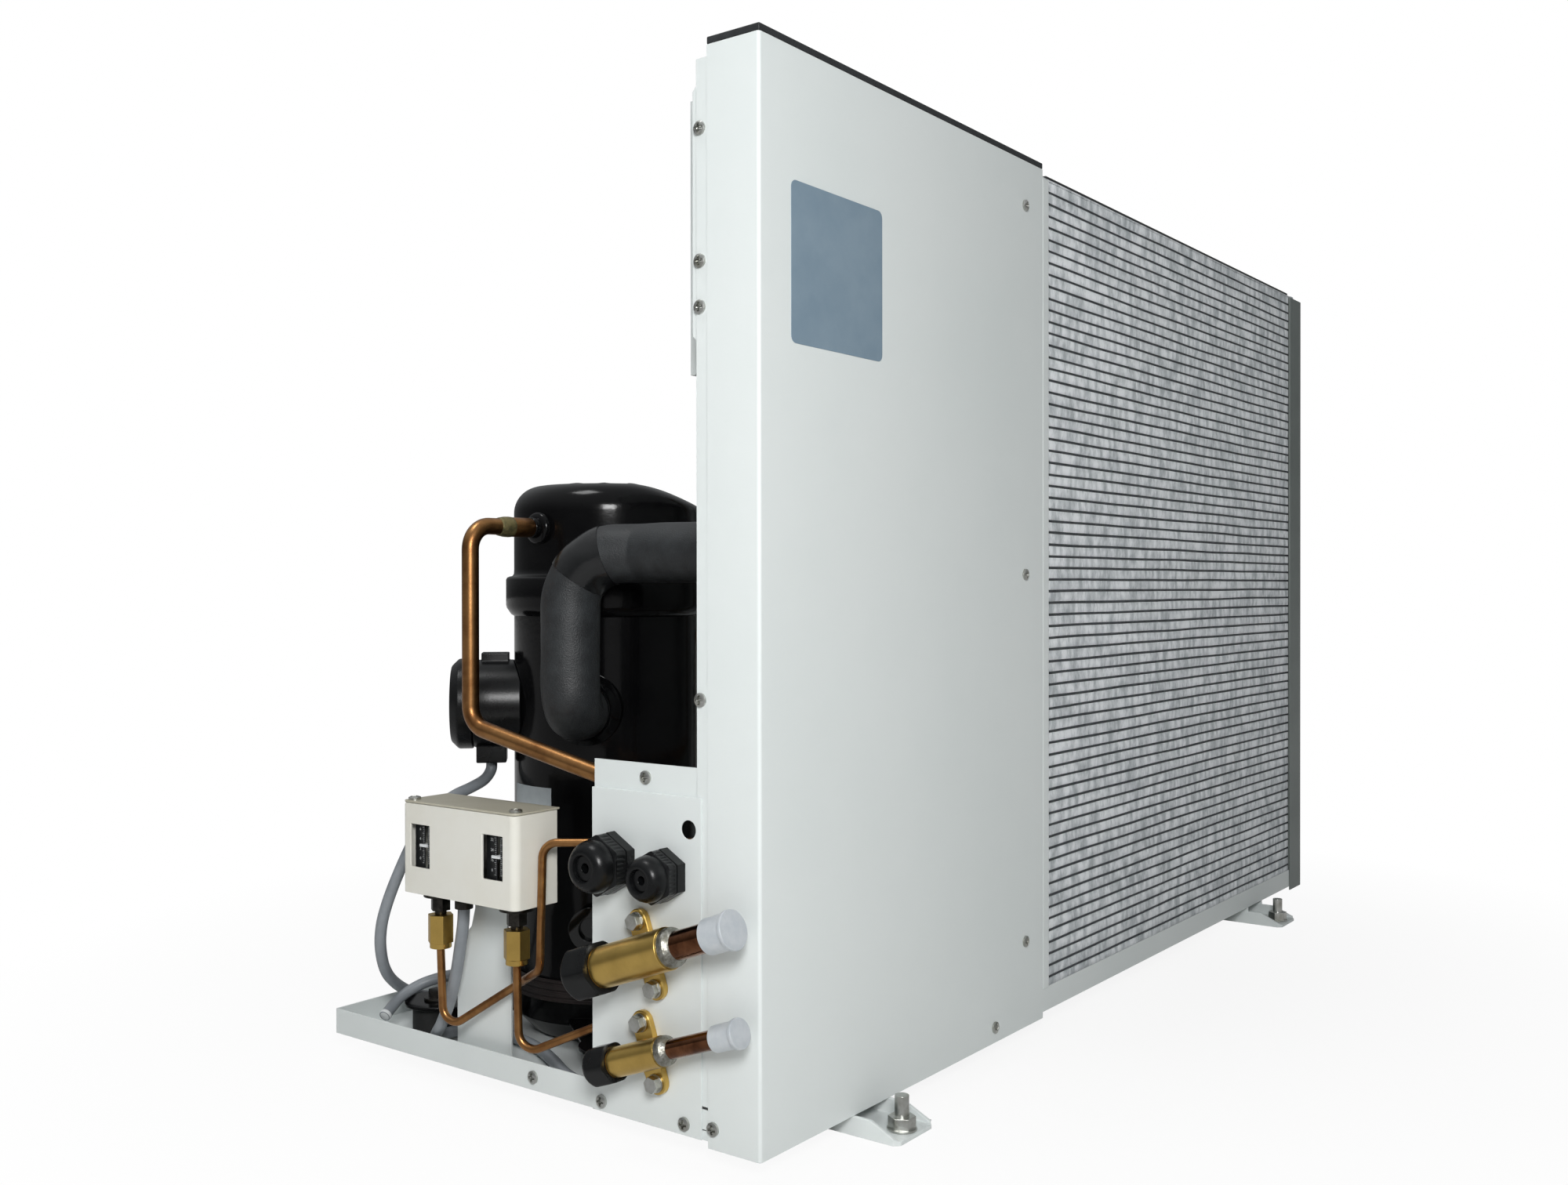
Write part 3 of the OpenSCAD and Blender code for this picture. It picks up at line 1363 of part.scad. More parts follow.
module liquid_valve_cap() {
  color("black") at_valve(liquid_valve_at, liquid_out)
    valve_cap(liquid_nose, liquid_barrel_r, liquid_cap_af, liquid_cap_len);
}

module valve_stem(nose) {
  end = nose + nose_len(nose);
  bar_y(nose - 8 + soft_gap, end + 2, stem_r);
  box_at([-stem_r / 2, end + 2, -stem_r / 2], [stem_r / 2, end + 6, stem_r / 2]);
}

module suction_valve_stem() {
  color("silver") at_valve(suction_valve_at, suction_out) valve_stem(suction_nose);
}

module liquid_valve_stem() {
  color("silver") at_valve(liquid_valve_at, liquid_out) valve_stem(liquid_nose);
}

// Push-on plastic cap over the open end of a stub
module plug(length, r) {
  inner = r + 2 * run_gap;
  end = length + soft_gap + plug_wall;
  difference() {
    union() {
      bar_y(-end, -end + plug_len, inner + plug_wall);
      bar_y(-end, -end + 3, inner + plug_wall + plug_rim);
    }
    bar_y(-length - soft_gap, -end + plug_len + over, inner);
  }
}

module suction_plug() {
  color("lightblue") at_valve(suction_valve_at, suction_out) plug(suction_stub_len, suction_stub_d / 2);
}

module liquid_plug() {
  color("lightblue") at_valve(liquid_valve_at, liquid_out) plug(liquid_stub_len, liquid_stub_d / 2);
}

// Cable gland: hex flange on the panel, threaded nose, rubber seal, lock nut
module gland_body(af, length) {
  nose_r = af * gland_nose_share;
  seal_r = af * gland_seal_r_share;
  difference() {
    union() {
      hex_x(-gland_flange, 0, af);
      bar_x(-length * 0.72, 0, nose_r);
      bar_x(0, 14, nose_r - 0.4);
      bar_x(-length + 3, -length * 0.72, seal_r);
      hex_x(sheet, sheet + gland_lock_t, af);
    }
    bar_x(-length, 14 + over, seal_r * 0.4);
  }
}

// Domed clamping nut of a gland, its ribs left to the finish
module gland_nut(af, length) {
  nose_r = af * gland_nose_share + run_gap;
  seal_r = af * gland_seal_r_share + soft_gap;
  x1 = -gland_flange - fit_gap;
  hex_end = -length * (1 - gland_hex_len_share);
  dome_r = af * 0.49;
  round = af * 0.2;
  difference() {
    union() {
      hex_x(hex_end, x1, af);
      translate([-length + round, 0, 0]) rotate([0, 90, 0]) cylinder(h = length - round + x1, r = dome_r);
      translate([-length, 0, 0]) rotate([0, 90, 0])
        cylinder(h = round, r1 = dome_r - round * 0.7, r2 = dome_r);
    }
    bar_x(-length * 0.72 - soft_gap, x1 + over, nose_r);
    bar_x(-length - over, x1, seal_r);
  }
}

module gland_bodies() {
  color("black") place() {
    translate([0, large_gland_at.x, large_gland_at.y]) gland_body(large_gland_af, gland_len);
    translate([0, small_gland_at.x, small_gland_at.y]) gland_body(small_gland_af, small_gland_len);
  }
}

module large_gland_nut() {
  color("black") place() translate([0, large_gland_at.x, large_gland_at.y])
    gland_nut(large_gland_af, gland_len);
}

module small_gland_nut() {
  color("black") place() translate([0, small_gland_at.x, small_gland_at.y])
    gland_nut(small_gland_af, small_gland_len);
}

// Upright sheet bracket that carries the pressure switch
module switch_bracket() {
  x = switch_x2;
  color("whitesmoke") place() difference() {
    union() {
      translate([x, 0, 0]) rotate([90, 0, 90]) linear_extrude(bracket_t) polygon([
        [bracket_y1, floor_z], [bracket_y2, floor_z], [bracket_y2, bracket_shoulder],
        [bracket_neck_y2 + 4, bracket_shoulder + 16], [bracket_neck_y2, bracket_shoulder + 30],
        [bracket_neck_y2, bracket_top], [bracket_neck_y1, bracket_top],
        [bracket_neck_y1, bracket_shoulder + 16], [bracket_y1, bracket_shoulder]]);
      box_at([x, bracket_y1, floor_z], [x + bracket_foot, bracket_y2, floor_z + bracket_t]);
    }
    translate([x - over, (bracket_y1 + bracket_y2) / 2, tray_z + 48]) bar_x(0, bracket_t + 2 * over, 2);
  }
}

// Chassis of the switch: back, floor and lid plates, shelf, scales, bellows and ports
module switch_base() {
  w = switch_wall + soft_gap;
  shelf_z = switch_z2 - 12;
  ports = [low_port_y, high_port_y];
  spindles = [low_y, high_y];
  color("gray") place() {
    difference() {
      union() {
        box_at([switch_x2 - bracket_t, switch_y1 + w, switch_z1], [switch_x2, switch_y2 - w, switch_z2 - 2]);
        box_at([switch_x1 + w, switch_y1 + w, switch_z1], [switch_x2, switch_y2 - w, switch_z1 + 2]);
        box_at([switch_x1 + w + 6, switch_y1 + w, shelf_z], [switch_x2, switch_y2 - w, shelf_z + 2]);
        box_at([switch_x1, switch_y1, switch_z2 - 1.5], [switch_x2, switch_y2, switch_z2]);
        box_at([switch_x2 - bracket_t, switch_y1 + w, shelf_z], [switch_x2, switch_y2 - w, switch_z2]);
        for (y = spindles) box_at([scale_x, y - window_w / 2 - 1.5, switch_z1 + 2],
          [scale_x + scale_t, y + window_w / 2 + 1.5, shelf_z]);
      }
      for (y = switch_screw_ys) translate([switch_screw_x, y, 0])
        bar_z(switch_z2 - 4, switch_z2 + over, screw_shank_r);
      for (y = spindles) {
        translate([spindle_x, y, 0]) bar_z(switch_z1 + over, switch_z2 - 3, spindle_r + run_gap);
        box_at([scale_x - over, y - scale_slot / 2, window_z - 1],
          [scale_x + scale_t + over, y + scale_slot / 2, window_z + window_h + 1]);
      }
    }
    translate([switch_gland_x, switch_gland_y, 0])
      bar_z(switch_z1 - switch_gland_h, switch_z1, cable_d * 0.75);
    for (y = ports) translate([switch_port_x, y, 0]) {
      bar_z(switch_z1 - 5, switch_z1, 12.5);
      hex_z(switch_z1 - connector_h, switch_z1 - 5, connector_af);
      bar_z(switch_z1 - connector_h - 3, switch_z1 - connector_h, connector_af / 3);
    }
  }
}

// Moulded front cover with two windows, open at the back, top and bottom
module switch_cover() {
  z2 = switch_z2 - 1.5 - soft_gap;
  w = switch_wall;
  color("linen") place() difference() {
    box_at([switch_x1, switch_y1, switch_z1], [switch_x2 - bracket_t - soft_gap, switch_y2, z2]);
    box_at([switch_x1 + w, switch_y1 + w, switch_z1 - over], [switch_x2 + over, switch_y2 - w, z2 + over]);
    for (y = [low_y, high_y]) box_at([switch_x1 - over, y - window_w / 2, window_z],
      [switch_x1 + w + over, y + window_w / 2, window_z + window_h]);
  }
}

module spindle(y) {
  color("silver") place() translate([spindle_x, y, 0]) {
    bar_z(switch_z1 + 2.2, switch_z2 - 5, spindle_r);
    bar_z(switch_z2 - 9.8, switch_z2 - 5, spindle_r + 2);
  }
}

module low_spindle() {
  spindle(low_y);
}

module high_spindle() {
  spindle(high_y);
}

// Pointer arm round a spindle, its tip in front of the scale
module pointer(y) {
  z = window_z + window_h / 2;
  color("red") place() difference() {
    union() {
      box_at([scale_x - 3, y - 1, z - 1], [spindle_x, y + 1, z + 1]);
      box_at([scale_x - 3, y - 4, z - 1], [scale_x - 1.6, y + 4, z + 1]);
      translate([spindle_x, y, 0]) bar_z(z - 3, z + 3, spindle_r + 3);
    }
    translate([spindle_x, y, 0]) bar_z(z - 4, z + 4, spindle_r + run_gap);
  }
}

module low_pointer() {
  pointer(low_y);
}

module high_pointer() {
  pointer(high_y);
}

module flare_nuts() {
  color("darkkhaki") place() for (y = [low_port_y, high_port_y]) translate([switch_port_x, y, 0]) {
    difference() {
      union() {
        hex_z(flare_z + 4, flare_z + flare_h, flare_af);
        bar_z(flare_z, flare_z + 4, flare_af / 2 - 0.5);
      }
      bar_z(flare_z - over, flare_z + flare_h + over, capillary_d / 2 + run_gap);
    }
  }
}

// Copper tubes from the switch to the suction pipe and to the liquid pipe
module switch_tubes() {
  r = capillary_d / 2;
  top = flare_z + flare_h;
  tee = (suction_d / 2 + tee_gap) * sqrt(0.5);
  color("peru") place() {
    bent_pipe([
      [switch_port_x, low_port_y, top],
      [switch_port_x, low_port_y, flare_z - 2],
      [switch_port_x, low_port_y - 3, tray_z + 29],
      [6, switch_y1 + 37, tray_z + 71],
      [-10.5, switch_y1 - 4, tray_z + 91.7],
      [-8.5, switch_y1 - 5, tray_z + 181],
      [14, service_y + 98, tray_z + 182],
      [riser.x - tee, riser.y + 5.5 + tee, tray_z + 182],
    ], r, 11);
    bent_pipe([
      [switch_port_x, high_port_y, top],
      [switch_port_x, high_port_y, flare_z - 2],
      [switch_port_x, high_port_y - 2, tray_z + 26],
      [12, service_y + 96, tray_z + 57],
      [valve_pipe_in - 4, liquid_valve_at.x + liquid_d / 2 + tee_gap, liquid_valve_at.y + 1],
    ], r, 12);
  }
}

module compressor_cable() {
  color("slategray") place()
    swept_tube(cord_line(compressor_cable_pts, compressor_cable_steps), cable_d / 2, cable_sides);
}

module heater_cable() {
  color("slategray") place()
    swept_tube(cord_line(heater_cable_pts, heater_cable_steps), cable_d / 2, cable_sides);
}

module switch_cable() {
  color("slategray") place()
    swept_tube(cord_line(switch_cable_pts, switch_cable_steps), cable_d / 2, cable_sides);
}

base_tray();
foot_channels();
foot_bolts();
blank_panel();
inner_posts();
service_panel();
coil_end_post();
foam_seals();
panel_screws();
label_plates();
coil_core();
coil_fins();
fan_shroud();
fan_guard();
fan_motor();
fan_rotor();
electrical_box();
electrical_box_lid();
control_gear();
compressor_shell();
compressor_cap();
compressor_base();
compressor_grommets();
hex_bolts();
crankcase_heater();
terminal_box();
terminal_box_cover();
motor_stator();
motor_rotor();
scroll_housing();
orbiting_scroll();
oil_sight_glass();
discharge_pipe();
inner_pipes();
suction_insulation();
receiver();
receiver_valve_cap();
valve_bodies();
valve_stubs();
suction_valve_cap();
suction_valve_stem();
suction_plug();
liquid_valve_cap();
liquid_valve_stem();
liquid_plug();
gland_bodies();
large_gland_nut();
small_gland_nut();
switch_bracket();
switch_base();
switch_cover();
low_spindle();
high_spindle();
low_pointer();
high_pointer();
flare_nuts();
switch_tubes();
compressor_cable();
switch_cable();
heater_cable();
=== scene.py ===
import json
import math
import bpy
import bmesh
from mathutils import Matrix, Quaternion, Vector, noise


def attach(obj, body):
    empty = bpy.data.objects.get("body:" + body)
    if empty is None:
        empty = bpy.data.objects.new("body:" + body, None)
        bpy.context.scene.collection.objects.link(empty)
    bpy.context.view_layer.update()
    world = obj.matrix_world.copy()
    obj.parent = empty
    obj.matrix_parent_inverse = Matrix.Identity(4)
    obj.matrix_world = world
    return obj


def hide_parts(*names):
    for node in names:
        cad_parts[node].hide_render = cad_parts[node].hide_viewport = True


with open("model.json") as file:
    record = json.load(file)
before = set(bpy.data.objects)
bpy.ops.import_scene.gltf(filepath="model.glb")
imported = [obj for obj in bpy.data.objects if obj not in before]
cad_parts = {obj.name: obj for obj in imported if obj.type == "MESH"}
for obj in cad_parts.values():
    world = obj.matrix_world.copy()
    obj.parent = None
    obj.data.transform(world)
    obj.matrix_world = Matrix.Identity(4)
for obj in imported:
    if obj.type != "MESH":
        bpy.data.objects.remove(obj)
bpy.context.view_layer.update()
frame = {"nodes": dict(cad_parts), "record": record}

# Condensing unit dressed for its pictures. Lengths are in millimetres from the tray's near corner
# until place() turns them into the frame's metres.
record = frame["record"]
bodyOf = {node: body for body, nodes in record["behaviour"]["bodies"].items() for node in nodes}
slotOf = {part["node"]: part["material_slot"] for part in record["subparts"]}
mm = 0.001
trayCorner = Vector((517.185, 217.0, 0.0))


def place(x, y, z):
    return (Vector((x, y, z)) - trayCorner) * mm


def linked(name, data):
    made = bpy.data.objects.new(name, data)
    bpy.context.scene.collection.objects.link(made)
    return made


def applied(name, source):
    mesh = bpy.data.meshes.new_from_object(source.evaluated_get(bpy.context.evaluated_depsgraph_get()))
    bpy.data.objects.remove(source)
    return linked(name, mesh)


# Camera where the photographer stood, level with the middle of the unit
cameraSetup = {"at": (-1.249855, -0.78309, 0.37964), "look": (0.80129267, 0.59825027, -0.00516451),
               "up": (0.00484801, 0.00213917, 0.99998596), "lens": 33.7525, "sensor": 36.0}


def makeCamera(setup):
    look, up = Vector(setup["look"]).normalized(), Vector(setup["up"])
    right = look.cross(up).normalized()
    up = right.cross(look)
    data = bpy.data.cameras.new("photoCamera")
    data.lens, data.sensor_width = setup["lens"], setup["sensor"]
    data.clip_start, data.clip_end = 0.02, 60.0
    camera = linked("photoCamera", data)
    turn = Matrix((right, up, -look)).transposed().to_4x4()
    camera.matrix_world = Matrix.Translation(Vector(setup["at"])) @ turn
    bpy.context.scene.camera = camera


makeCamera(cameraSetup)
bpy.context.scene.view_settings.view_transform = "Standard"


def hexToLinear(code):
    parts = [int(code[i:i + 2], 16) / 255 for i in (1, 3, 5)]
    return [c / 12.92 if c <= 0.04045 else ((c + 0.055) / 1.055) ** 2.4 for c in parts] + [1.0]


def addNode(tree, kind, values=None, links=None, **settings):
    made = tree.nodes.new(kind)
    for key, value in settings.items():
        setattr(made, key, value)
    for key, value in (values or {}).items():
        made.inputs[key].default_value = value
    for key, socket in (links or {}).items():
        tree.links.new(socket, made.inputs[key])
    return made


# Studio: white surroundings for the camera, a dimmer room for reflections, and a key lamp on the left
studio = {"floorSize": 30.0, "floorColour": "#f4f4f2", "skyColour": "#f1f4f6", "worldLight": 0.2, "mirrorLight": 0.45,
          "lamps": [("keyLamp", (-1.38, -0.95, 0.8), (-0.35, -0.1, 0.35), 0.35, 14.8),
                    ("rightLamp", (0.5, -2.9, 1.7), (0.1, 0.0, 0.35), 1.4, 2.5),
                    ("topLamp", (-0.9, 0.3, 2.2), (-0.3, 0.0, 0.3), 0.5, 8.0),
                    ("backLamp", (0.6, 2.8, 2.0), (0.0, 0.0, 0.3), 1.6, 18.0)]}


# Share of a ray that the camera sees, straight or through clear plastic, and whether it is a reflection
def cameraShare(tree):
    path = addNode(tree, "ShaderNodeLightPath")
    seen = addNode(tree, "ShaderNodeMath", links={0: path.outputs["Is Camera Ray"],
                                                  1: path.outputs["Is Transmission Ray"]}, operation="MAXIMUM")
    return seen.outputs[0], path.outputs["Is Glossy Ray"]


def makeStudio(setup):
    white = {"Color": (1, 1, 1, 1), "Strength": 1.0}
    sky = hexToLinear(setup["skyColour"])
    world = bpy.data.worlds.new("studioWorld")
    world.use_nodes = True
    bpy.context.scene.world = world
    tree = world.node_tree
    tree.nodes.clear()
    soft = addNode(tree, "ShaderNodeBackground", {"Color": sky, "Strength": setup["worldLight"]})
    plain = addNode(tree, "ShaderNodeBackground", white)
    seen, glossy = cameraShare(tree)
    where = addNode(tree, "ShaderNodeTexCoord")
    height = addNode(tree, "ShaderNodeSeparateXYZ", links={0: where.outputs["Generated"]})
    room = addNode(tree, "ShaderNodeMapRange", {"From Min": -0.1, "From Max": 0.9, "To Min": 0.1, "To Max": 0.6},
                   {"Value": height.outputs["Z"]}, interpolation_type="SMOOTHSTEP")
    mirror = addNode(tree, "ShaderNodeBackground", {"Color": sky}, {"Strength": room.outputs[0]})
    mix = addNode(tree, "ShaderNodeMixShader", links={0: glossy, 1: soft.outputs[0], 2: mirror.outputs[0]})
    mix = addNode(tree, "ShaderNodeMixShader", links={0: seen, 1: mix.outputs[0], 2: plain.outputs[0]})
    addNode(tree, "ShaderNodeOutputWorld", links={0: mix.outputs[0]})
    for name, at, to, size, power in setup["lamps"]:
        data = bpy.data.lights.new(name, "AREA")
        data.shape, data.size, data.energy = "SQUARE", size, power
        lamp = linked(name, data)
        aim = (Vector(to) - Vector(at)).to_track_quat("-Z", "Y")
        lamp.matrix_world = Matrix.Translation(Vector(at)) @ aim.to_matrix().to_4x4()
        lamp.visible_glossy = name != "backLamp"
    half = setup["floorSize"] / 2
    mesh = bpy.data.meshes.new("floor")
    mesh.from_pydata([(-half, -half, 0), (half, -half, 0), (half, half, 0), (-half, half, 0)], [], [(0, 1, 2, 3)])
    floor = linked("floor", mesh)
    paint = bpy.data.materials.new("floorPaint")
    paint.use_nodes = True
    tree = paint.node_tree
    tree.nodes.clear()
    diffuse = addNode(tree, "ShaderNodeBsdfDiffuse", {"Color": hexToLinear(setup["floorColour"])})
    glow = addNode(tree, "ShaderNodeEmission", white)
    mirrored = addNode(tree, "ShaderNodeEmission", white | {"Strength": setup["mirrorLight"]})
    where = addNode(tree, "ShaderNodeTexCoord")
    far = addNode(tree, "ShaderNodeVectorMath", links={0: where.outputs["Object"]}, operation="LENGTH")
    fade = addNode(tree, "ShaderNodeMapRange", {"From Min": 0.3, "From Max": 0.9, "To Min": 0.88, "To Max": 1.0},
                   {"Value": far.outputs["Value"]})
    seen, glossy = cameraShare(tree)
    share = addNode(tree, "ShaderNodeMath", links={0: fade.outputs[0], 1: seen}, operation="MULTIPLY")
    mix = addNode(tree, "ShaderNodeMixShader", links={0: share.outputs[0], 1: diffuse.outputs[0], 2: glow.outputs[0]})
    mix = addNode(tree, "ShaderNodeMixShader", links={0: glossy, 1: mix.outputs[0], 2: mirrored.outputs[0]})
    addNode(tree, "ShaderNodeOutputMaterial", links={0: mix.outputs[0]})
    mesh.materials.append(paint)


makeStudio(studio)
print("camera, lamps and floor made")


# Finishes. Each has its colour, a second colour in blotches, its roughness range and a bump of real grain.
def makeFinish(name, setup):
    material = bpy.data.materials.new(name)
    material.use_nodes = True
    tree = material.node_tree
    tree.nodes.clear()
    where = addNode(tree, "ShaderNodeTexCoord")
    stretch = addNode(tree, "ShaderNodeMapping", {"Scale": setup.get("stretch", (1, 1, 1))},
                      {"Vector": where.outputs["Object"]})
    blotch = addNode(tree, "ShaderNodeTexNoise", {"Scale": 1000 / setup.get("blotchSize", 60), "Detail": 5.0,
                                                 "Roughness": 0.6}, {"Vector": stretch.outputs[0]})
    spread = addNode(tree, "ShaderNodeMapRange",
                     {"From Min": setup.get("blotchLow", 0.4), "From Max": setup.get("blotchHigh", 0.65)},
                     {"Value": blotch.outputs[0]})
    tint = addNode(tree, "ShaderNodeMix",
                   {6: hexToLinear(setup["colour"]), 7: hexToLinear(setup.get("colour2", setup["colour"]))},
                   {0: spread.outputs[0]}, data_type="RGBA")
    low, high = setup["roughness"]
    rough = addNode(tree, "ShaderNodeMapRange", {"To Min": low, "To Max": high}, {"Value": blotch.outputs[0]})
    grain = addNode(tree, "ShaderNodeTexNoise",
                    {"Scale": 1000 / setup["grainSize"], "Detail": setup.get("detail", 2.0)},
                    {"Vector": where.outputs["Object"]})
    bump = addNode(tree, "ShaderNodeBump", {"Strength": setup["grain"], "Distance": setup["grainSize"] * mm * 0.4},
                   {"Height": grain.outputs[0]})
    surface = addNode(tree, "ShaderNodeBsdfPrincipled", {"Metallic": setup.get("metallic", 0.0)},
                      {"Base Color": tint.outputs[2], "Roughness": rough.outputs[0], "Normal": bump.outputs[0]})
    for key, value in setup.get("sockets", {}).items():
        surface.inputs[key].default_value = value
    addNode(tree, "ShaderNodeOutputMaterial", links={0: surface.outputs[0]})
    return material


finishSetups = {
    # polyester powder coat on steel: off-white, satin, with a faint orange peel
    "painted_sheet": {"colour": "#dde2e1", "colour2": "#d9dfde", "blotchSize": 300, "roughness": (0.36, 0.46),
                      "grain": 0.05, "grainSize": 1.6, "sockets": {"IOR": 1.5}},
    # bright zinc plate: pale metal with faint bluish and yellow clouds
    "zinc": {"colour": "#c3c4c0", "colour2": "#a9a9a1", "blotchSize": 9, "roughness": (0.22, 0.42), "grain": 0.08,
             "grainSize": 0.8, "metallic": 1.0},
    # closed-cell nitrile foam: charcoal, matte, leathery skin
    "foam": {"colour": "#1e2022", "colour2": "#272a2c", "blotchSize": 14, "roughness": (0.42, 0.6), "grain": 0.7,
             "grainSize": 1.1, "detail": 4.0},
    # brushed polyester film: plain blue grey
    "blank_plate": {"colour": "#778b9a", "colour2": "#7f92a0", "blotchSize": 40, "roughness": (0.32, 0.42),
                    "grain": 0.05, "grainSize": 0.6},
    # brazed aluminium: dull silver with flux clouds
    "coil_aluminium": {"colour": "#eef1f3", "colour2": "#b4babd", "blotchSize": 9, "stretch": (1, 1, 0.4),
                       "roughness": (0.35, 0.6), "grain": 0.2, "grainSize": 1.2, "metallic": 0.15},
    # painted shade: the flat tubes dark grey for the shadow between the fins, with flux clouds
    "tubePaintedShade": {"colour": "#44484b", "colour2": "#34383b", "blotchSize": 8, "roughness": (0.5, 0.7),
                      "grain": 0.2, "grainSize": 1.0, "metallic": 0.3},
    # baked black enamel: deep gloss, a little orange peel
    "black_enamel": {"colour": "#070708", "colour2": "#0b0b0c", "blotchSize": 50, "roughness": (0.1, 0.2),
                     "grain": 0.04, "grainSize": 3.5, "sockets": {"Specular IOR Level": 0.2}},
    # moulded nylon: black, semi-gloss
    "black_plastic": {"colour": "#0c0d0e", "colour2": "#121314", "blotchSize": 20, "roughness": (0.22, 0.34),
                      "grain": 0.1, "grainSize": 0.7, "sockets": {"Specular IOR Level": 0.25}},
    # grey cast motor housing
    "motor_grey": {"colour": "#55595c", "colour2": "#4b4f52", "blotchSize": 20, "roughness": (0.4, 0.6), "grain": 0.3,
                   "grainSize": 1.5},
    # light grey polycarbonate
    "control_plastic": {"colour": "#b9bcbd", "colour2": "#adb1b3", "blotchSize": 30, "roughness": (0.45, 0.6),
                        "grain": 0.15, "grainSize": 0.8},
    # black natural rubber
    "grommet_rubber": {"colour": "#161616", "colour2": "#222222", "blotchSize": 10, "roughness": (0.7, 0.9),
                       "grain": 0.3, "grainSize": 0.9},
    # red-brown silicone belt
    "heater_silicone": {"colour": "#1a1312", "colour2": "#231a18", "blotchSize": 12, "roughness": (0.5, 0.7),
                        "grain": 0.2, "grainSize": 1.0},
    # turned steel
    "steel": {"colour": "#8d8f91", "colour2": "#797b7d", "blotchSize": 8, "roughness": (0.25, 0.4), "grain": 0.1,
              "grainSize": 0.6, "metallic": 1.0},
    # machined iron casting
    "iron": {"colour": "#5d5e60", "colour2": "#4b4c4e", "blotchSize": 12, "roughness": (0.45, 0.7), "grain": 0.5,
             "grainSize": 1.6, "metallic": 0.8},
    # annealed copper tube, brown with handling and heat
    "copper": {"colour": "#a97c4e", "colour2": "#805734", "blotchSize": 22, "roughness": (0.26, 0.42), "grain": 0.06,
               "grainSize": 2.0, "metallic": 1.0},
    # hot-forged brass, dull yellow with a fine skin
    "brass": {"colour": "#dcb968", "colour2": "#c9a75c", "blotchSize": 30, "roughness": (0.25, 0.36), "grain": 0.05,
              "grainSize": 1.2, "metallic": 1.0},
    # translucent polyethylene
    "clear_plug": {"colour": "#dfe4e8", "colour2": "#cfd6dc", "blotchSize": 12, "roughness": (0.25, 0.4),
                   "grain": 0.1, "grainSize": 1.5, "sockets": {"Transmission Weight": 0.35, "IOR": 1.45}},
    # cream ABS moulding
    "switch_cream": {"colour": "#e3e2da", "colour2": "#dfddd3", "blotchSize": 60, "roughness": (0.34, 0.44),
                     "grain": 0.08, "grainSize": 0.6, "sockets": {"IOR": 1.53}},
    "pointer_red": {"colour": "#a9321c", "colour2": "#9c2c18", "blotchSize": 10, "roughness": (0.4, 0.5),
                    "grain": 0.05, "grainSize": 0.6},
    # extruded vinyl sheath, satin grey
    "cable_grey": {"colour": "#888d92", "colour2": "#7e8388", "blotchSize": 22, "roughness": (0.34, 0.48),
                   "grain": 0.1, "grainSize": 1.2},
    "glass": {"colour": "#0d0f0e", "colour2": "#0d0f0e", "roughness": (0.04, 0.06), "grain": 0.0, "grainSize": 1.0},
    # painted shade: the coil's end post dark grey for the shade at the far end
    "endPostPaintedShade": {"colour": "#767d7a", "colour2": "#6f7673", "blotchSize": 60, "roughness": (0.4, 0.5),
                   "grain": 0.1, "grainSize": 1.4},
    # taupe lid of the pressure switch
    "taupePaint": {"colour": "#bab6a6", "colour2": "#b2ae9d", "blotchSize": 60, "roughness": (0.3, 0.4),
                   "grain": 0.08, "grainSize": 0.6},
    # silver brazing fillet
    "silverSolder": {"colour": "#a3a29b", "colour2": "#7d7b70", "blotchSize": 3, "roughness": (0.3, 0.5),
                     "grain": 0.6, "grainSize": 1.6, "metallic": 1.0},
    # olive oxide left by the torch beside the discharge port
    "brazedCollar": {"colour": "#8b8058", "colour2": "#5f5d42", "blotchSize": 5, "roughness": (0.4, 0.6),
                     "grain": 0.5, "grainSize": 1.2, "metallic": 0.8},
    # dark lacquered copper stub
    "darkCopper": {"colour": "#84583d", "colour2": "#573624", "blotchSize": 16, "roughness": (0.1, 0.2),
                   "grain": 0.04, "grainSize": 2.0, "metallic": 1.0},
    # blackened steel connectors
    "blackSteel": {"colour": "#2c2a28", "colour2": "#45423e", "blotchSize": 6, "roughness": (0.25, 0.4),
                   "grain": 0.08, "grainSize": 0.8, "metallic": 0.9},
    # glossy vinyl tape over the foam
    "glossTape": {"colour": "#141516", "colour2": "#191a1b", "blotchSize": 12, "roughness": (0.16, 0.26),
                  "grain": 0.1, "grainSize": 3.0},
    "whitePaper": {"colour": "#b9c1c4", "colour2": "#afb7bb", "blotchSize": 15, "roughness": (0.5, 0.6),
                   "grain": 0.05, "grainSize": 0.5},
    "scaleBlack": {"colour": "#121416", "colour2": "#181a1c", "blotchSize": 10, "roughness": (0.4, 0.5),
                   "grain": 0.05, "grainSize": 0.5},
    "tickWhite": {"colour": "#d9dcdd", "colour2": "#d9dcdd", "roughness": (0.4, 0.5), "grain": 0.02,
                  "grainSize": 0.5},
}
finishes = {name: makeFinish(name, setup) for name, setup in finishSetups.items()}
for node, cadObject in frame["nodes"].items():
    cadObject.data.materials.clear()
    cadObject.data.materials.append(finishes[slotOf[node]])
print("finishes made:", len(finishes))


# Finished pieces
def finishPiece(piece, body, finish, replaced, smooth=35.0):
    mesh = piece.data
    for face in mesh.polygons:
        face.use_smooth = True
    mesh.set_sharp_from_angle(angle=math.radians(smooth))
    if finish and not mesh.materials:
        mesh.materials.append(finishes[finish])
    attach(piece, body)
    if replaced:
        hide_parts(*replaced)


def meshPiece(name, points, faces):
    mesh = bpy.data.meshes.new(name)
    mesh.from_pydata([tuple(p) for p in points], [], faces)
    mesh.update()
    return linked(name, mesh)


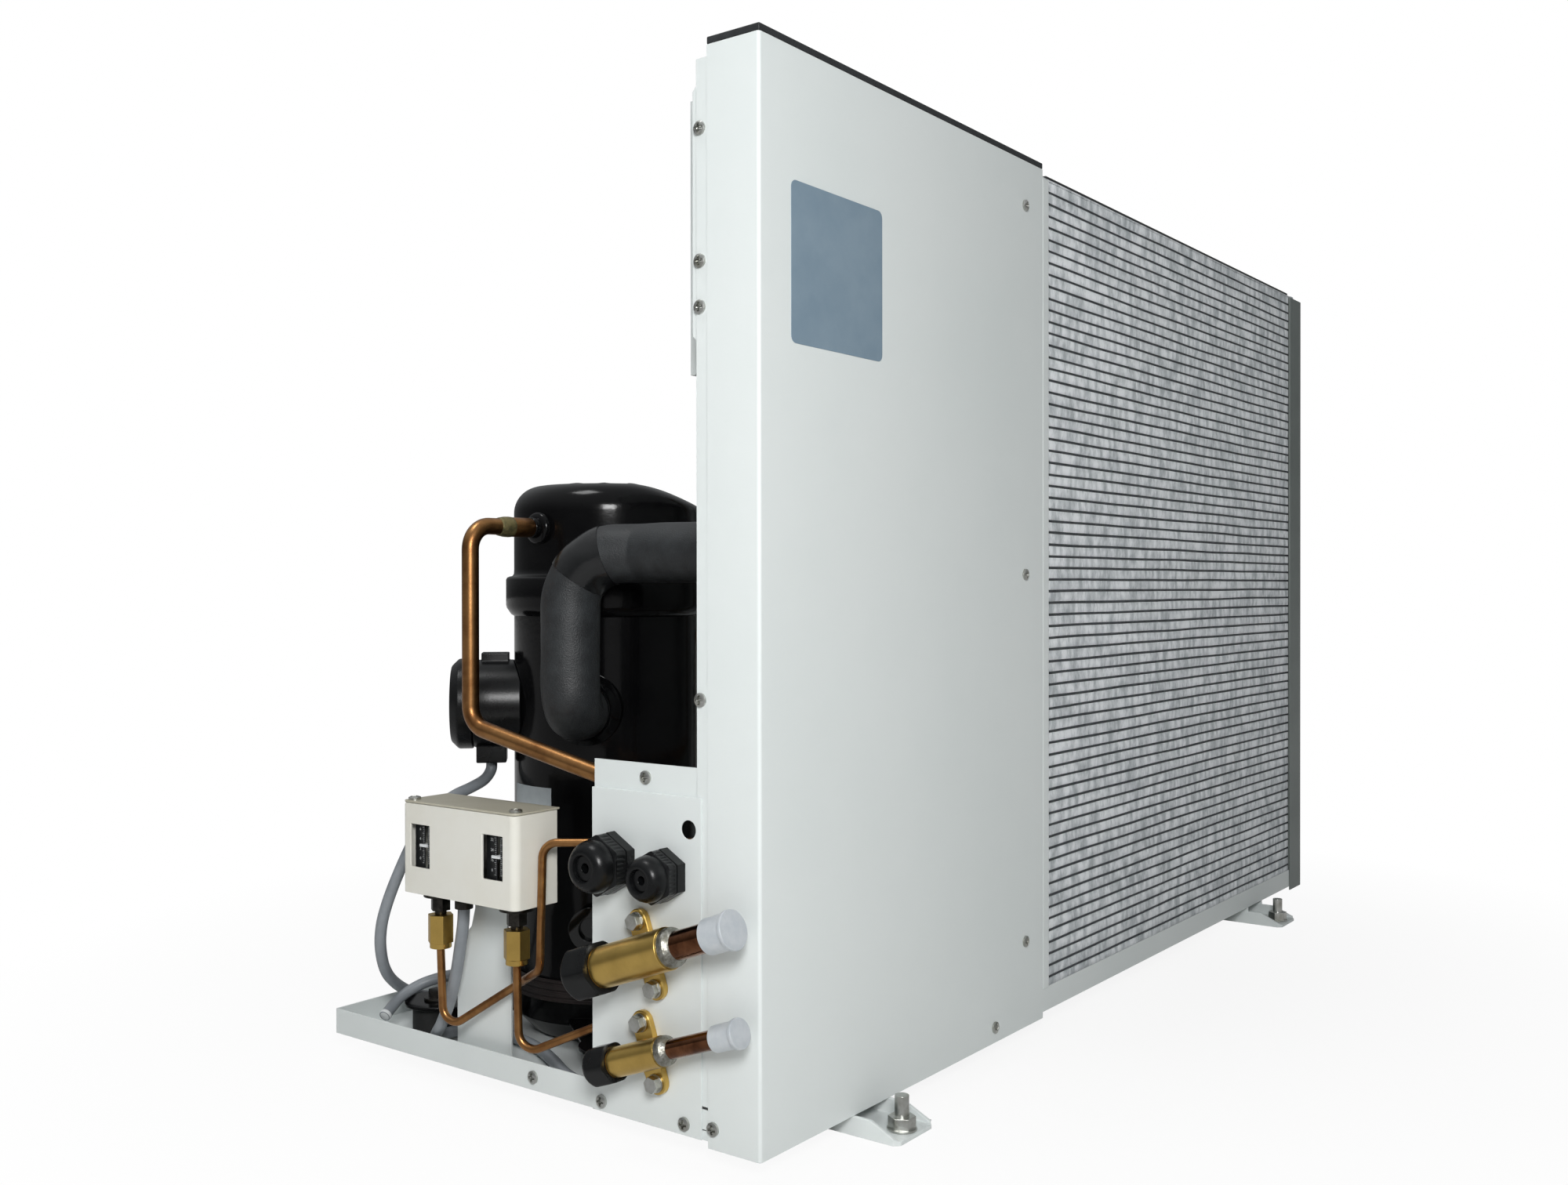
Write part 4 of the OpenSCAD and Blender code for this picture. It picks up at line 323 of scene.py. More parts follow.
def joined(name, pieces):
    work = bmesh.new()
    materials = []
    for piece in pieces:
        part = bmesh.new()
        part.from_mesh(piece.data)
        shift = [materials.index(m) if m in materials else materials.append(m) or len(materials) - 1
                 for m in piece.data.materials] or [0]
        for face in part.faces:
            face.material_index = shift[min(face.material_index, len(shift) - 1)]
        scratch = bpy.data.meshes.new("scratch")
        part.to_mesh(scratch)
        work.from_mesh(scratch)
        part.free()
        bpy.data.meshes.remove(scratch)
        bpy.data.objects.remove(piece)
    mesh = bpy.data.meshes.new(name)
    work.to_mesh(mesh)
    work.free()
    for material in materials:
        mesh.materials.append(material)
    return linked(name, mesh)


def painted(piece, finish):
    piece.data.materials.append(finishes[finish])
    return piece


# A path through points with each corner rounded to its bend, or as far as its sides allow
def filletPath(points, bends, turnStep=7.0, share=0.48):
    path = [Vector(points[0])]
    for before, corner, after, bend in zip(points, points[1:], points[2:], bends):
        back, on = Vector(before) - Vector(corner), Vector(after) - Vector(corner)
        turn = math.pi - back.angle(on)
        if turn < 0.02:
            path.append(Vector(corner))
            continue
        cut = min(bend * math.tan(turn / 2), share * back.length, share * on.length)
        radius = cut / math.tan(turn / 2)
        back.normalize()
        on.normalize()
        centre = Vector(corner) + (back + on).normalized() * radius / math.cos(turn / 2)
        first = Vector(corner) + back * cut - centre
        last = Vector(corner) + on * cut - centre
        swing = first.rotation_difference(last)
        steps = max(2, math.ceil(math.degrees(turn) / turnStep))
        for i in range(steps + 1):
            path.append(centre + Quaternion().slerp(swing, i / steps) @ first)
    path.append(Vector(points[-1]))
    return path


# Faces of rings of points that follow each other, with both ends closed
def runFaces(count, sides):
    faces = [(i * sides + k, i * sides + (k + 1) % sides, (i + 1) * sides + (k + 1) % sides, (i + 1) * sides + k)
             for i in range(count - 1) for k in range(sides)]
    return faces + [tuple(range(sides - 1, -1, -1)), tuple(range((count - 1) * sides, count * sides))]


def tubeMesh(name, path, radius, sides, wobble=0.0):
    wobbleSize = 22
    points = []
    side = None
    count = len(path)
    for i, centre in enumerate(path):
        ahead = (path[min(i + 1, count - 1)] - path[max(i - 1, 0)]).normalized()
        if side is None:
            side = ahead.orthogonal().normalized()
        side = (side - ahead * side.dot(ahead)).normalized()
        other = ahead.cross(side)
        for k in range(sides):
            a = 2 * math.pi * k / sides
            out = side * math.cos(a) + other * math.sin(a)
            at = centre + out * radius
            if wobble:
                at += out * wobble * noise.noise(at / wobbleSize)
            points.append(place(*at))
    return meshPiece(name, points, runFaces(count, sides))


# Faces between rings of points, which may shrink to one point
def ringFaces(rings):
    faces = []
    for low, high in zip(rings, rings[1:]):
        for k in range(len(low)):
            n = (k + 1) % len(low)
            face = [low[k], low[n], high[n], high[k]]
            face = [v for i, v in enumerate(face) if v not in face[:i]]
            if len(face) > 2:
                faces.append(face)
    return faces


# A profile of radius and height turned about an axis; a radius can be a function of the direction outwards
def turnedMesh(name, profile, origin, axis, steps=64):
    along = Vector(axis).normalized()
    side = along.orthogonal().normalized()
    other = along.cross(side)
    points, rings = [], []
    for radius, height in profile:
        if not callable(radius) and radius < 1e-6:
            rings.append([len(points)] * steps)
            points.append(place(*(Vector(origin) + along * height)))
            continue
        rings.append(list(range(len(points), len(points) + steps)))
        for k in range(steps):
            a = 2 * math.pi * k / steps
            out = side * math.cos(a) + other * math.sin(a)
            reach = radius(out) if callable(radius) else radius
            points.append(place(*(Vector(origin) + along * height + out * reach)))
    return meshPiece(name, points, ringFaces(rings))


# A copy of a CAD node with its edges rounded; bends get their own larger radius
softSetup = {"weld": 1e-6, "flatAngle": 0.6, "edgeAngle": 30.0, "bendNear": 0.25 * mm, "bendAngle": 0.5}


def softCopy(node, width, bends=(), finish=None):
    setup = softSetup
    work = bmesh.new()
    work.from_mesh(frame["nodes"][node].data)
    bmesh.ops.remove_doubles(work, verts=work.verts, dist=setup["weld"])
    bmesh.ops.dissolve_limit(work, angle_limit=math.radians(setup["flatAngle"]), verts=work.verts, edges=work.edges)
    for (x, y, z), direction, radius in bends:
        on, along = place(x, y, z), Vector(direction)
        edges = [e for e in work.edges if len(e.link_faces) == 2 and all(
            ((v.co - on) - along * (v.co - on).dot(along)).length < setup["bendNear"] for v in e.verts)
            and e.calc_face_angle(0) > setup["bendAngle"]]
        bmesh.ops.bevel(work, geom=edges, offset=radius * mm, offset_type="OFFSET", segments=5, profile=0.5,
                        affect="EDGES", clamp_overlap=True)
    mesh = bpy.data.meshes.new(node + "Copy")
    work.to_mesh(mesh)
    work.free()
    raw = linked("raw", mesh)
    soft = raw.modifiers.new("edges", "BEVEL")
    soft.limit_method, soft.angle_limit = "ANGLE", math.radians(setup["edgeAngle"])
    soft.width, soft.segments = width * mm, 2
    soft.use_clamp_overlap = False
    soft.miter_outer = "MITER_ARC"
    flat = raw.modifiers.new("shading", "WEIGHTED_NORMAL")
    flat.keep_sharp = True
    for face in mesh.polygons:
        face.use_smooth = True
    piece = applied(node + "Dressed", raw)
    piece.data.materials.clear()
    return painted(piece, finish or slotOf[node])


def standIn(piece, node):
    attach(piece, bodyOf[node])
    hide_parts(node)


# Cords: the compressor's supply, the pressure switch's lead and the free crankcase heater lead
def smoothRoute(points):
    perSpan = 6
    route = []
    padded = [2 * Vector(points[0]) - Vector(points[1])] + [Vector(p) for p in points]
    padded.append(2 * Vector(points[-1]) - Vector(points[-2]))
    for a, b, c, d in zip(padded, padded[1:], padded[2:], padded[3:]):
        for i in range(perSpan):
            t = i / perSpan
            route.append(0.5 * (2 * b + (c - a) * t + (2 * a - 5 * b + 4 * c - d) * t * t
                                + (3 * b - a - 3 * c + d) * t ** 3))
    route.append(Vector(points[-1]))
    return route


cordSetups = {
    "compressorCable": {"node": "compressor_cable", "end": "object", "points": [
        (85, 342, 236), (84, 342, 229), (77, 342, 222), (64, 343, 217), (48, 345, 212), (33, 348, 203),
        (18, 354, 184), (6, 363, 152), (0, 371, 124), (0, 376, 104), (6, 382, 86), (16, 389, 71), (31, 397, 58),
        (50, 404, 46), (72, 410, 36), (100, 414, 28), (150, 415, 25), (220, 415, 25), (290, 415, 25), (340, 412, 25),
        (372, 398, 25), (388, 370, 25), (390, 330, 25), (386, 280, 25), (374, 220, 25), (356, 170, 25),
        (342, 145, 28), (333, 132, 46), (330, 128, 80), (330, 128, 160), (330, 128, 260), (330, 128, 350),
        (328, 126, 420), (318, 118, 460), (296, 98, 486), (262, 70, 494), (226, 52, 496), (200, 46, 502),
        (190, 45, 510), (190, 45, 519)]},
    "switchCable": {"node": "switch_cable", "end": "object", "points": [
        (-2, 276, 140), (-2, 277, 128), (-2, 280, 112), (0, 287, 90), (3, 298, 66), (6, 311, 46), (14, 327, 33),
        (29, 340, 27), (47, 341, 25), (60, 331, 25), (65, 312, 25), (62, 285, 25), (54, 255, 25), (40, 225, 25),
        (24, 195, 25), (16, 165, 25), (15, 135, 25), (17, 108, 30), (22, 84, 44), (27, 68, 68), (30, 61, 110),
        (30, 60, 200), (30, 60, 300), (32, 58, 400), (42, 54, 450), (64, 49, 482), (86, 46, 498), (98, 45, 508),
        (100, 45, 519)]},
    "heaterCable": {"node": "heater_cable", "end": "bare", "points": [
        (90.5, 336.5, 64), (84, 343, 64), (74, 356, 64), (60, 374, 60), (46, 385, 55), (30, 389, 48), (20, 387, 43),
        (10, 384, 38)]},
}
cableDiameter = 9.0


def makeCord(name, setup):
    route = smoothRoute(setup["points"])
    data = bpy.data.curves.new(name, "CURVE")
    data.dimensions = "3D"
    data.bevel_depth = cableDiameter / 2 * mm
    data.bevel_resolution = 6
    data.use_fill_caps = True
    spline = data.splines.new("POLY")
    spline.points.add(len(route) - 1)
    placed = [place(*p) for p in route]
    for point, at in zip(spline.points, placed):
        point.co = (*at, 1.0)
    spline.use_smooth = True
    cord = linked(name, data)
    data.materials.append(finishes["cable_grey"])
    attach(cord, "frame")
    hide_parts(setup["node"])


for name, setup in cordSetups.items():
    makeCord(name, setup)
freeEnd = cordSetups["heaterCable"]["points"][-1]
freeFrom = Vector(cordSetups["heaterCable"]["points"][-2])
seal = turnedMesh("heaterCableSeal", [(4.4, -3.0), (4.8, -2.8), (4.9, -1.2), (4.6, -0.3), (3.2, 0.2), (0, 0.3)],
                  freeEnd, Vector(freeEnd) - freeFrom, 32)
finishPiece(seal, "frame", "tickWhite", [])

# Sheet metal with its bends
sheetSetups = {
    "blank_panel": (0.35, [((0, 0, 300), (0, 0, 1), 2.4)]),
    "base_tray": (0.4, [((1.2, 1.2, 30), (0, 0, 1), 1.5)]),
    "foot_channels": (0.6, []),
    "inner_posts": (0.35, []),
    "service_panel": (0.35, []),
    "coil_end_post": (0.4, [((1036, 0, 300), (0, 0, 1), 1.6), ((1076, 0, 300), (0, 0, 1), 1.6)]),
    "switch_bracket": (0.4, []),
    "fan_shroud": (0.4, []),
    "electrical_box": (0.4, []),
    "electrical_box_lid": (0.4, []),
}
# the coil's end post takes the dark grey painted shade instead of its slot's finish
for node, (edge, bends) in sheetSetups.items():
    standIn(softCopy(node, edge, bends=bends, finish="endPostPaintedShade" if node == "coil_end_post" else None), node)

# Bare nameplate with its rounded corners, and the plain label on the compressor
plate = {"left": 33.5, "low": 536.8, "width": 108.0, "height": 106.0, "round": 5.0}
plateCorners = [((x, -0.2, z), (0, 1, 0), plate["round"]) for x in (plate["left"], plate["left"] + plate["width"])
                for z in (plate["low"], plate["low"] + plate["height"])]
plates = softCopy("label_plates", 0.1, bends=plateCorners)
painted(plates, "whitePaper")
panelFace = place(0, 5, 0).y
for face in plates.data.polygons:
    face.material_index = int(face.center.y > panelFace)
standIn(plates, "label_plates")
print("sheet metal made")

# Small turned, forged and moulded parts
edgeSetups = {"foam_seals": 0.8, "foot_bolts": 0.35, "valve_stubs": 0.3, "suction_plug": 0.6,
              "liquid_plug": 0.6, "gland_bodies": 0.4, "flare_nuts": 0.45, "terminal_box": 1.0,
              "terminal_box_cover": 1.2, "compressor_base": 0.9, "compressor_grommets": 0.8,
              "oil_sight_glass": 0.4, "fan_motor": 0.6, "receiver": 0.5, "receiver_valve_cap": 0.6,
              "low_pointer": 0.2, "high_pointer": 0.2}
edgeFinishes = {"valve_stubs": "darkCopper", "low_pointer": "tickWhite", "high_pointer": "tickWhite"}
for node, edge in edgeSetups.items():
    standIn(softCopy(node, edge, finish=edgeFinishes.get(node)), node)
print("fittings made")


def softMin(a, b, blend):
    h = max(0.0, min(1.0, 0.5 + 0.5 * (b - a) / blend))
    return b + (a - b) * h - blend * h * (1 - h)


# Radius of a hexagon with eased corners, as a function of the direction outwards; ribs run round it and
# a limit turns its corners down
def hexReach(flats, up, along, limit=None, rib=0.0):
    across = Vector(along).cross(Vector(up))
    blend, ribCount, cornerShare = 0.8, 36, 1.13

    def reach(out):
        a = math.atan2(out.dot(across), out.dot(Vector(up)))
        r = flats / 2 / math.cos(a % (math.pi / 3) - math.pi / 6)
        r = softMin(r, flats / 2 * cornerShare, blend) - rib * max(0.0, math.cos(ribCount * a))
        return softMin(r, limit, blend) if limit else r
    return reach


# Hex bolts: zinc at the valves, blackened on the compressor's legs
bolts = softCopy("hex_bolts", 0.35)
painted(bolts, "blackSteel")
legsFrom = place(40, 0, 0).x
for face in bolts.data.polygons:
    face.material_index = int(face.center.x > legsFrom)
standIn(bolts, "hex_bolts")

# Service valves: forged bodies with solder rings at the stubs, and their hexagonal caps
valveTilt = math.radians(-20)
valveAlong = (0, math.cos(valveTilt), math.sin(valveTilt))
valveSetups = {
    "suction": {"at": (-22, 92.5, 133.5), "nose": 24.3, "flats": 34, "length": 25, "bore": 13.0, "ring": 38,
                "stub": 9.5},
    "liquid": {"at": (-18, 90.5, 68.5), "nose": 18.3, "flats": 25, "length": 21, "bore": 9.0, "ring": 26,
               "stub": 6.35},
}


def makeValveCap(name, setup):
    flats, length, bore = setup["flats"], setup["length"], setup["bore"]
    up = (1, 0, 0)
    profile = [(bore, 0), (flats / 2 - 0.8, 0), (hexReach(flats, up, valveAlong, flats / 2 + 1.0), 0.5),
               (hexReach(flats, up, valveAlong), 2.6)]
    chamfer = length - 7.5
    for i in range(9):
        t = i / 8
        profile.append((hexReach(flats, up, valveAlong, flats / 2 * (1.17 - 0.2 * t * t)), chamfer + 6.2 * t))
    profile += [(flats * 0.45, length - 0.6), (flats * 0.41, length - 0.25), (flats * 0.25, length), (0, length),
                (0, length - 3), (bore, length - 3), (bore, 0)]
    at = Vector(setup["at"]) + Vector(valveAlong) * setup["nose"]
    piece = turnedMesh(name + "Cap", profile, at, valveAlong, 144)
    node = name + "_valve_cap"
    finishPiece(piece, bodyOf[node], "black_plastic", [node], smooth=32)


rings = []
for name, setup in valveSetups.items():
    makeValveCap(name, setup)
    at = Vector(setup["at"]) - Vector(valveAlong) * setup["ring"]
    r = setup["stub"]
    profile = [(r, -0.4), (r + 3.1, -0.4), (r + 3.4, 0.6), (r + 3.4, 4.0), (r + 3.0, 5.2), (r + 1.6, 6.4),
               (r + 0.5, 7.6), (r, 8.4), (r, -0.4)]
    rings.append(painted(turnedMesh("ring", profile, at, -Vector(valveAlong), 48), "silverSolder"))
standIn(joined("valveBodiesDressed", [softCopy("valve_bodies", 0.9)] + rings), "valve_bodies")

# Cable glands: ribbed hexagon, round nose, a hole in the rubber
glandSetups = {"large_gland_nut": {"at": (125, 191), "flats": 37, "length": 32},
               "small_gland_nut": {"at": (77.5, 188), "flats": 31.5, "length": 29}}


def makeGland(node, setup):
    flats, length = setup["flats"], setup["length"]
    start, hexEnd, dome = 8.5, length * 0.58, flats * 0.49
    up, along = (0, 0, 1), (-1, 0, 0)
    plain, ribbed = hexReach(flats, up, along), hexReach(flats, up, along, rib=0.5)
    mouth, bore, seat = flats * 0.23 + 0.3, flats * 0.37, length * 0.72 + 0.3
    profile = [(bore, start), (flats / 2 - 0.6, start), (plain, start + 0.6), (plain, start + 2.0),
               (ribbed, start + 2.6), (ribbed, hexEnd - 1.6), (plain, hexEnd - 1.0), (plain, hexEnd - 0.6),
               (hexReach(flats, up, along, dome + 0.8), hexEnd), (dome - 0.5, hexEnd + 0.5),
               (dome - 0.5, hexEnd + 1.2), (dome, hexEnd + 1.8)]
    bulge = length - hexEnd - 1.8
    for i in range(1, 13):
        a = math.radians(90 * i / 12)
        profile.append((mouth + 1.2 + (dome - mouth - 1.2) * math.cos(a), length - bulge + bulge * math.sin(a)))
    profile += [(mouth + 0.4, length - 0.2), (mouth, length - 0.9), (mouth, seat), (bore, seat), (bore, start)]
    nut = turnedMesh(node, profile, (0, *setup["at"]), along, 216)
    finishPiece(nut, bodyOf[node], "black_plastic", [node], smooth=32)


for node, setup in glandSetups.items():
    makeGland(node, setup)

# Pressure switch: painted lid, dark connectors, scales with their ticks and figures
switch = {"front": -30.0, "near": 191.0, "far": 310.5, "low": 153.0, "high": 221.0, "scale": -24.0,
          "windowLow": 172.6, "inkUp": 0.08, "tickWide": 0.28, "tickStep": 1.45, "figureStep": 7.2,
          "dials": [(291.9, ("0", "2", "4", "6")), (214.4, ("8", "16", "24", "32"))]}


def tick(y1, y2, z, setup):
    x, half = setup["scale"] - setup["inkUp"], setup["tickWide"] / 2
    points = [place(x, y, z + dz) for y, dz in ((y1, -half), (y2, -half), (y2, half), (y1, half))]
    return painted(meshPiece("tick", points, [(0, 3, 2, 1)]), "tickWhite")


def figure(text, y, z, size, setup):
    curve = bpy.data.curves.new("figure", "FONT")
    curve.body, curve.size, curve.resolution_u = text, size * mm, 2
    curve.align_x, curve.align_y = "CENTER", "CENTER"
    piece = applied("figure", linked("figure", curve))
    at = place(setup["scale"] - setup["inkUp"], y, z)
    for vertex in piece.data.vertices:
        vertex.co = at + Vector((0, -vertex.co.x, vertex.co.y))
    return painted(piece, "tickWhite")


def makeSwitch(setup):
    corners = [((setup["front"], setup["near"], 200), (0, 0, 1), 6),
               ((setup["front"], setup["far"], 200), (0, 0, 1), 3),
               ((setup["front"] + 2, setup["near"] + 2, 200), (0, 0, 1), 4)]
    standIn(softCopy("switch_cover", 0.5, bends=corners), "switch_cover")
    base = softCopy("switch_base", 0.35, bends=corners[:2])
    for finish in ("taupePaint", "scaleBlack", "blackSteel"):
        painted(base, finish)
    lidAt = place(0, 0, setup["high"] - 1.7).z
    lowAt = place(0, 0, setup["low"] + 0.5).z
    front, back = place(setup["scale"] - 0.2, 0, 0).x, place(setup["scale"] + 1.2, 0, 0).x
    for face in base.data.polygons:
        if face.center.z > lidAt:
            face.material_index = 1
        elif face.center.z < lowAt:
            face.material_index = 3
        elif front < face.center.x < back and face.center.z < lidAt - 0.009:
            face.material_index = 2
    marks = []
    for middle, numbers in setup["dials"]:
        for side in (-1, 1):
            for i in range(19):
                z = setup["windowLow"] + 2.5 + i * setup["tickStep"]
                reach = 3.9 if i % 3 == 0 else 3.0
                marks.append(tick(middle + side * 2.1, middle + side * reach, z, setup))
        for i, text in enumerate(numbers):
            low = setup["windowLow"] + i * setup["figureStep"]
            marks.append(figure(text, middle - 6.2, low + 4.5, 3.4, setup))
            marks.append(figure(text, middle + 6.4, low + 5.5, 3.0, setup))
    standIn(joined("switchBaseDressed", [base] + marks), "switch_base")


makeSwitch(switch)
print("valves, glands and switch made")


# Repeated pieces: copies in a row, or one on each point turned to face away from its sheet
def newTree(name, inputs):
    tree = bpy.data.node_groups.new(name, "GeometryNodeTree")
    for label, kind in inputs.items():
        tree.interface.new_socket(label, in_out="INPUT", socket_type="NodeSocket" + kind)
    tree.interface.new_socket("Geometry", in_out="OUTPUT", socket_type="NodeSocketGeometry")
    return tree, addNode(tree, "NodeGroupInput")


def endTree(tree, many, material):
    real = addNode(tree, "GeometryNodeRealizeInstances", links={0: many.outputs[0]})
    skin = addNode(tree, "GeometryNodeSetMaterial", {"Material": material}, {"Geometry": real.outputs[0]})
    addNode(tree, "NodeGroupOutput", links={0: skin.outputs[0]})
    return tree


def repeatTree(name, material):
    tree, into = newTree(name, {"Geometry": "Geometry", "Count": "Int", "Step": "Vector"})
    line = addNode(tree, "GeometryNodeMeshLine",
                   links={"Count": into.outputs["Count"], "Offset": into.outputs["Step"]})
    one = addNode(tree, "GeometryNodeGeometryToInstance", links={0: into.outputs["Geometry"]})
    many = addNode(tree, "GeometryNodeInstanceOnPoints",
                   links={"Points": line.outputs[0], "Instance": one.outputs[0]})
    return endTree(tree, many, material)


def facingTree(name, material):
    tree, into = newTree(name, {"Geometry": "Geometry", "Piece": "Object"})
    facing = addNode(tree, "GeometryNodeInputNamedAttribute", {"Name": "facing"}, data_type="FLOAT_VECTOR")
    turn = addNode(tree, "FunctionNodeAlignRotationToVector", links={"Vector": facing.outputs[0]}, axis="Z")
    piece = addNode(tree, "GeometryNodeObjectInfo", links={"Object": into.outputs["Piece"]})
    many = addNode(tree, "GeometryNodeInstanceOnPoints",
                   links={"Points": into.outputs["Geometry"], "Instance": piece.outputs["Geometry"],
                          "Rotation": turn.outputs[0]})
    return endTree(tree, many, material)


def grown(name, seed, tree, inputs):
    modifier = seed.modifiers.new("grow", "NODES")
    modifier.node_group = tree
    sockets = {s.name: s.identifier for s in tree.interface.items_tree if s.in_out == "INPUT"}
    for key, value in inputs.items():
        modifier[sockets[key]] = value
    return applied(name, seed)


# Pan-head screws with a cross recess
screwSetup = {"radius": 4.6, "height": 2.6, "shank": 2.0, "shankLength": 7.0, "slot": 0.8, "slotReach": 2.7,
              "deep": 1.9, "stops": (0.0, 0.25, 0.5, 0.62, 1.2, 1.9, 2.4, 2.62, 3.2, 3.9, 4.35, 4.6)}
screwPlaces = [((358, 0, 692), (0, -1, 0)), ((358, 0, 388), (0, -1, 0)), ((358, 0, 85), (0, -1, 0)),
               ((306, 0, 26.3), (0, -1, 0)), ((1.2, 49.4, 676.4), (-1, 0, 0)), ((1.2, 49.4, 590.3), (-1, 0, 0)),
               ((1.2, 49.4, 560.4), (-1, 0, 0)), ((1.2, 49.4, 304.8), (-1, 0, 0)), ((0, 38.4, 27.6), (-1, 0, 0)),
               ((2.5, 98.5, 250.5), (-1, 0, 0)), ((0, 137.4, 25.1), (-1, 0, 0)), ((0, 63, 25.7), (-1, 0, 0)),
               ((1.2, 206, 27.6), (-1, 0, 0)), ((-23, 197.6, 221), (0, 0, 1)), ((-23, 305.9, 221), (0, 0, 1))]


def screwMesh(setup):
    r, shank = setup["radius"], setup["shank"]
    steps = 64
    domed = [(stop, setup["height"] * (1 - 0.42 * (stop / r) ** 2.6)) for stop in setup["stops"]]
    under = [(r, 0.1), (r - 0.2, 0.0), (shank, 0.0), (shank, -setup["shankLength"])]
    points, rings = [], []
    for i, (reach, height) in enumerate(domed + under):
        ring = []
        for k in range(steps if reach else 1):
            a = 2 * math.pi * k / steps
            x, y = reach * math.cos(a), reach * math.sin(a)
            narrow, wide = sorted((abs(x), abs(y)))
            crossed = i < len(domed) and narrow < setup["slot"] and wide < setup["slotReach"]
            ring.append(len(points))
            points.append(Vector((x, y, height - setup["deep"] * crossed)) * mm)
        rings.append(ring if len(ring) > 1 else ring * steps)
    faces = [face[::-1] for face in ringFaces(rings)]
    return meshPiece("screw", points, faces + [rings[-1][::-1]])


def makeScrews():
    seed = screwMesh(screwSetup)
    spots = meshPiece("spots", [place(*at) for at, facing in screwPlaces], [])
    facing = spots.data.attributes.new("facing", "FLOAT_VECTOR", "POINT")
    for item, (at, toward) in zip(facing.data, screwPlaces):
        item.vector = toward
    screws = grown("panelScrews", spots, facingTree("facing", finishes["zinc"]), {"Piece": seed})
    bpy.data.objects.remove(seed)
    finishPiece(screws, bodyOf["panel_screws"], "zinc", ["panel_screws"], smooth=38)


makeScrews()
print("screws made")

# Compressor
compressor = {"x": 152.0, "y": 275.0, "shell": 76.5, "wall": 3.0, "footTop": 57.2, "seam": 354.7, "belly": 83.0,
              "bellyLow": 362.7, "bellyHigh": 386.7, "top": 460.2, "round": 22.0, "slopeStart": 35.0,
              "slopeAngle": 24.0, "slopeTo": -53.0, "portHeight": 424.2, "ribs": (196, 220, 244),
              "bossAzimuth": 210, "bossHeight": 283.7}


def crownOutline(setup):
    shell, belly, low, high = (setup[key] for key in ("shell", "belly", "bellyLow", "bellyHigh"))
    outline = [(shell, setup["seam"]), (shell + 2.4, setup["seam"] + 1.5), (belly - 0.6, low - 1.4),
               (belly, low + 1.0), (belly, high - 2.6), (belly - 0.9, high - 0.8), (belly - 2.8, high),
               (shell + 1.4, high + 0.5), (shell + 0.2, high + 2.2), (shell, high + 6.0)]
    outline += [(shell, high + 6 + i * 7.5) for i in range(1, 7)]
    corner, turnZ = shell - setup["round"], setup["top"] - setup["round"]
    for i in range(1, 15):
        a = math.radians(90 * i / 14)
        outline.append((corner + setup["round"] * math.cos(a), turnZ + setup["round"] * math.sin(a) - 0.02 * i))
    radius = corner
    while radius > 2.4:
        radius -= 2.2
        outline.append((radius, setup["top"] - 0.3))
    return outline + [(0.0, setup["top"] - 0.3)]


def crownMesh(setup, inset):
    steps = 160
    ribRise, ribWide, ribStart, ribEnd = 0.9, 3.4, 8, 62
    slope = math.tan(math.radians(setup["slopeAngle"]))
    toward = math.radians(setup["slopeTo"])
    points, rings = [], []
    for reach, height in crownOutline(setup):
        ring = []
        reach = max(reach - inset, 0.0)
        for k in range(steps if reach > 0 else 1):
            a = 2 * math.pi * k / steps
            x, y, z = reach * math.cos(a), reach * math.sin(a), height
            if z > setup["bellyHigh"] + 4:
                along = x * math.cos(toward) + y * math.sin(toward)
                z = softMin(z, setup["top"] + 1.5 - (along - setup["slopeStart"]) * slope, 9.0)
                for azimuth in setup["ribs"]:
                    r = math.radians(azimuth)
                    on = x * math.cos(r) + y * math.sin(r)
                    off = abs(-x * math.sin(r) + y * math.cos(r))
                    if ribStart < on < ribEnd:
                        ends = min(1.0, (on - ribStart) / 10, (ribEnd - on) / 12)
                        z += ribRise * ends * math.exp(-(off / ribWide) ** 2)
                z -= inset
            ring.append(len(points))
            points.append(place(setup["x"] + x, setup["y"] + y, z))
        rings.append(ring if len(ring) > 1 else ring * steps)
    return points, ringFaces(rings), rings[0]


def makeCrown(setup):
    outerPoints, outerFaces, outerRim = crownMesh(setup, 0.0)
    innerPoints, innerFaces, innerRim = crownMesh(setup, setup["wall"])
    shift = len(outerPoints)
    faces = outerFaces + [[v + shift for v in face[::-1]] for face in innerFaces]
    faces += ringFaces([outerRim[::-1], [v + shift for v in innerRim[::-1]]])
    crown = meshPiece("crown", outerPoints + innerPoints, faces)
    at = (setup["x"], setup["y"], setup["portHeight"])
    collar = turnedMesh("collar", [(0, 70), (12.6, 70), (12.6, 78), (12.2, 80.6), (11, 82), (8.3, 82.6), (8, 84),
                                   (8, 87.4), (7.4, 88), (0, 88)], at, (-1, 0, 0))
    whole = joined("compressorCrown", [crown, collar])
    finishPiece(whole, "frame", "black_enamel", ["compressor_cap"], smooth=50)


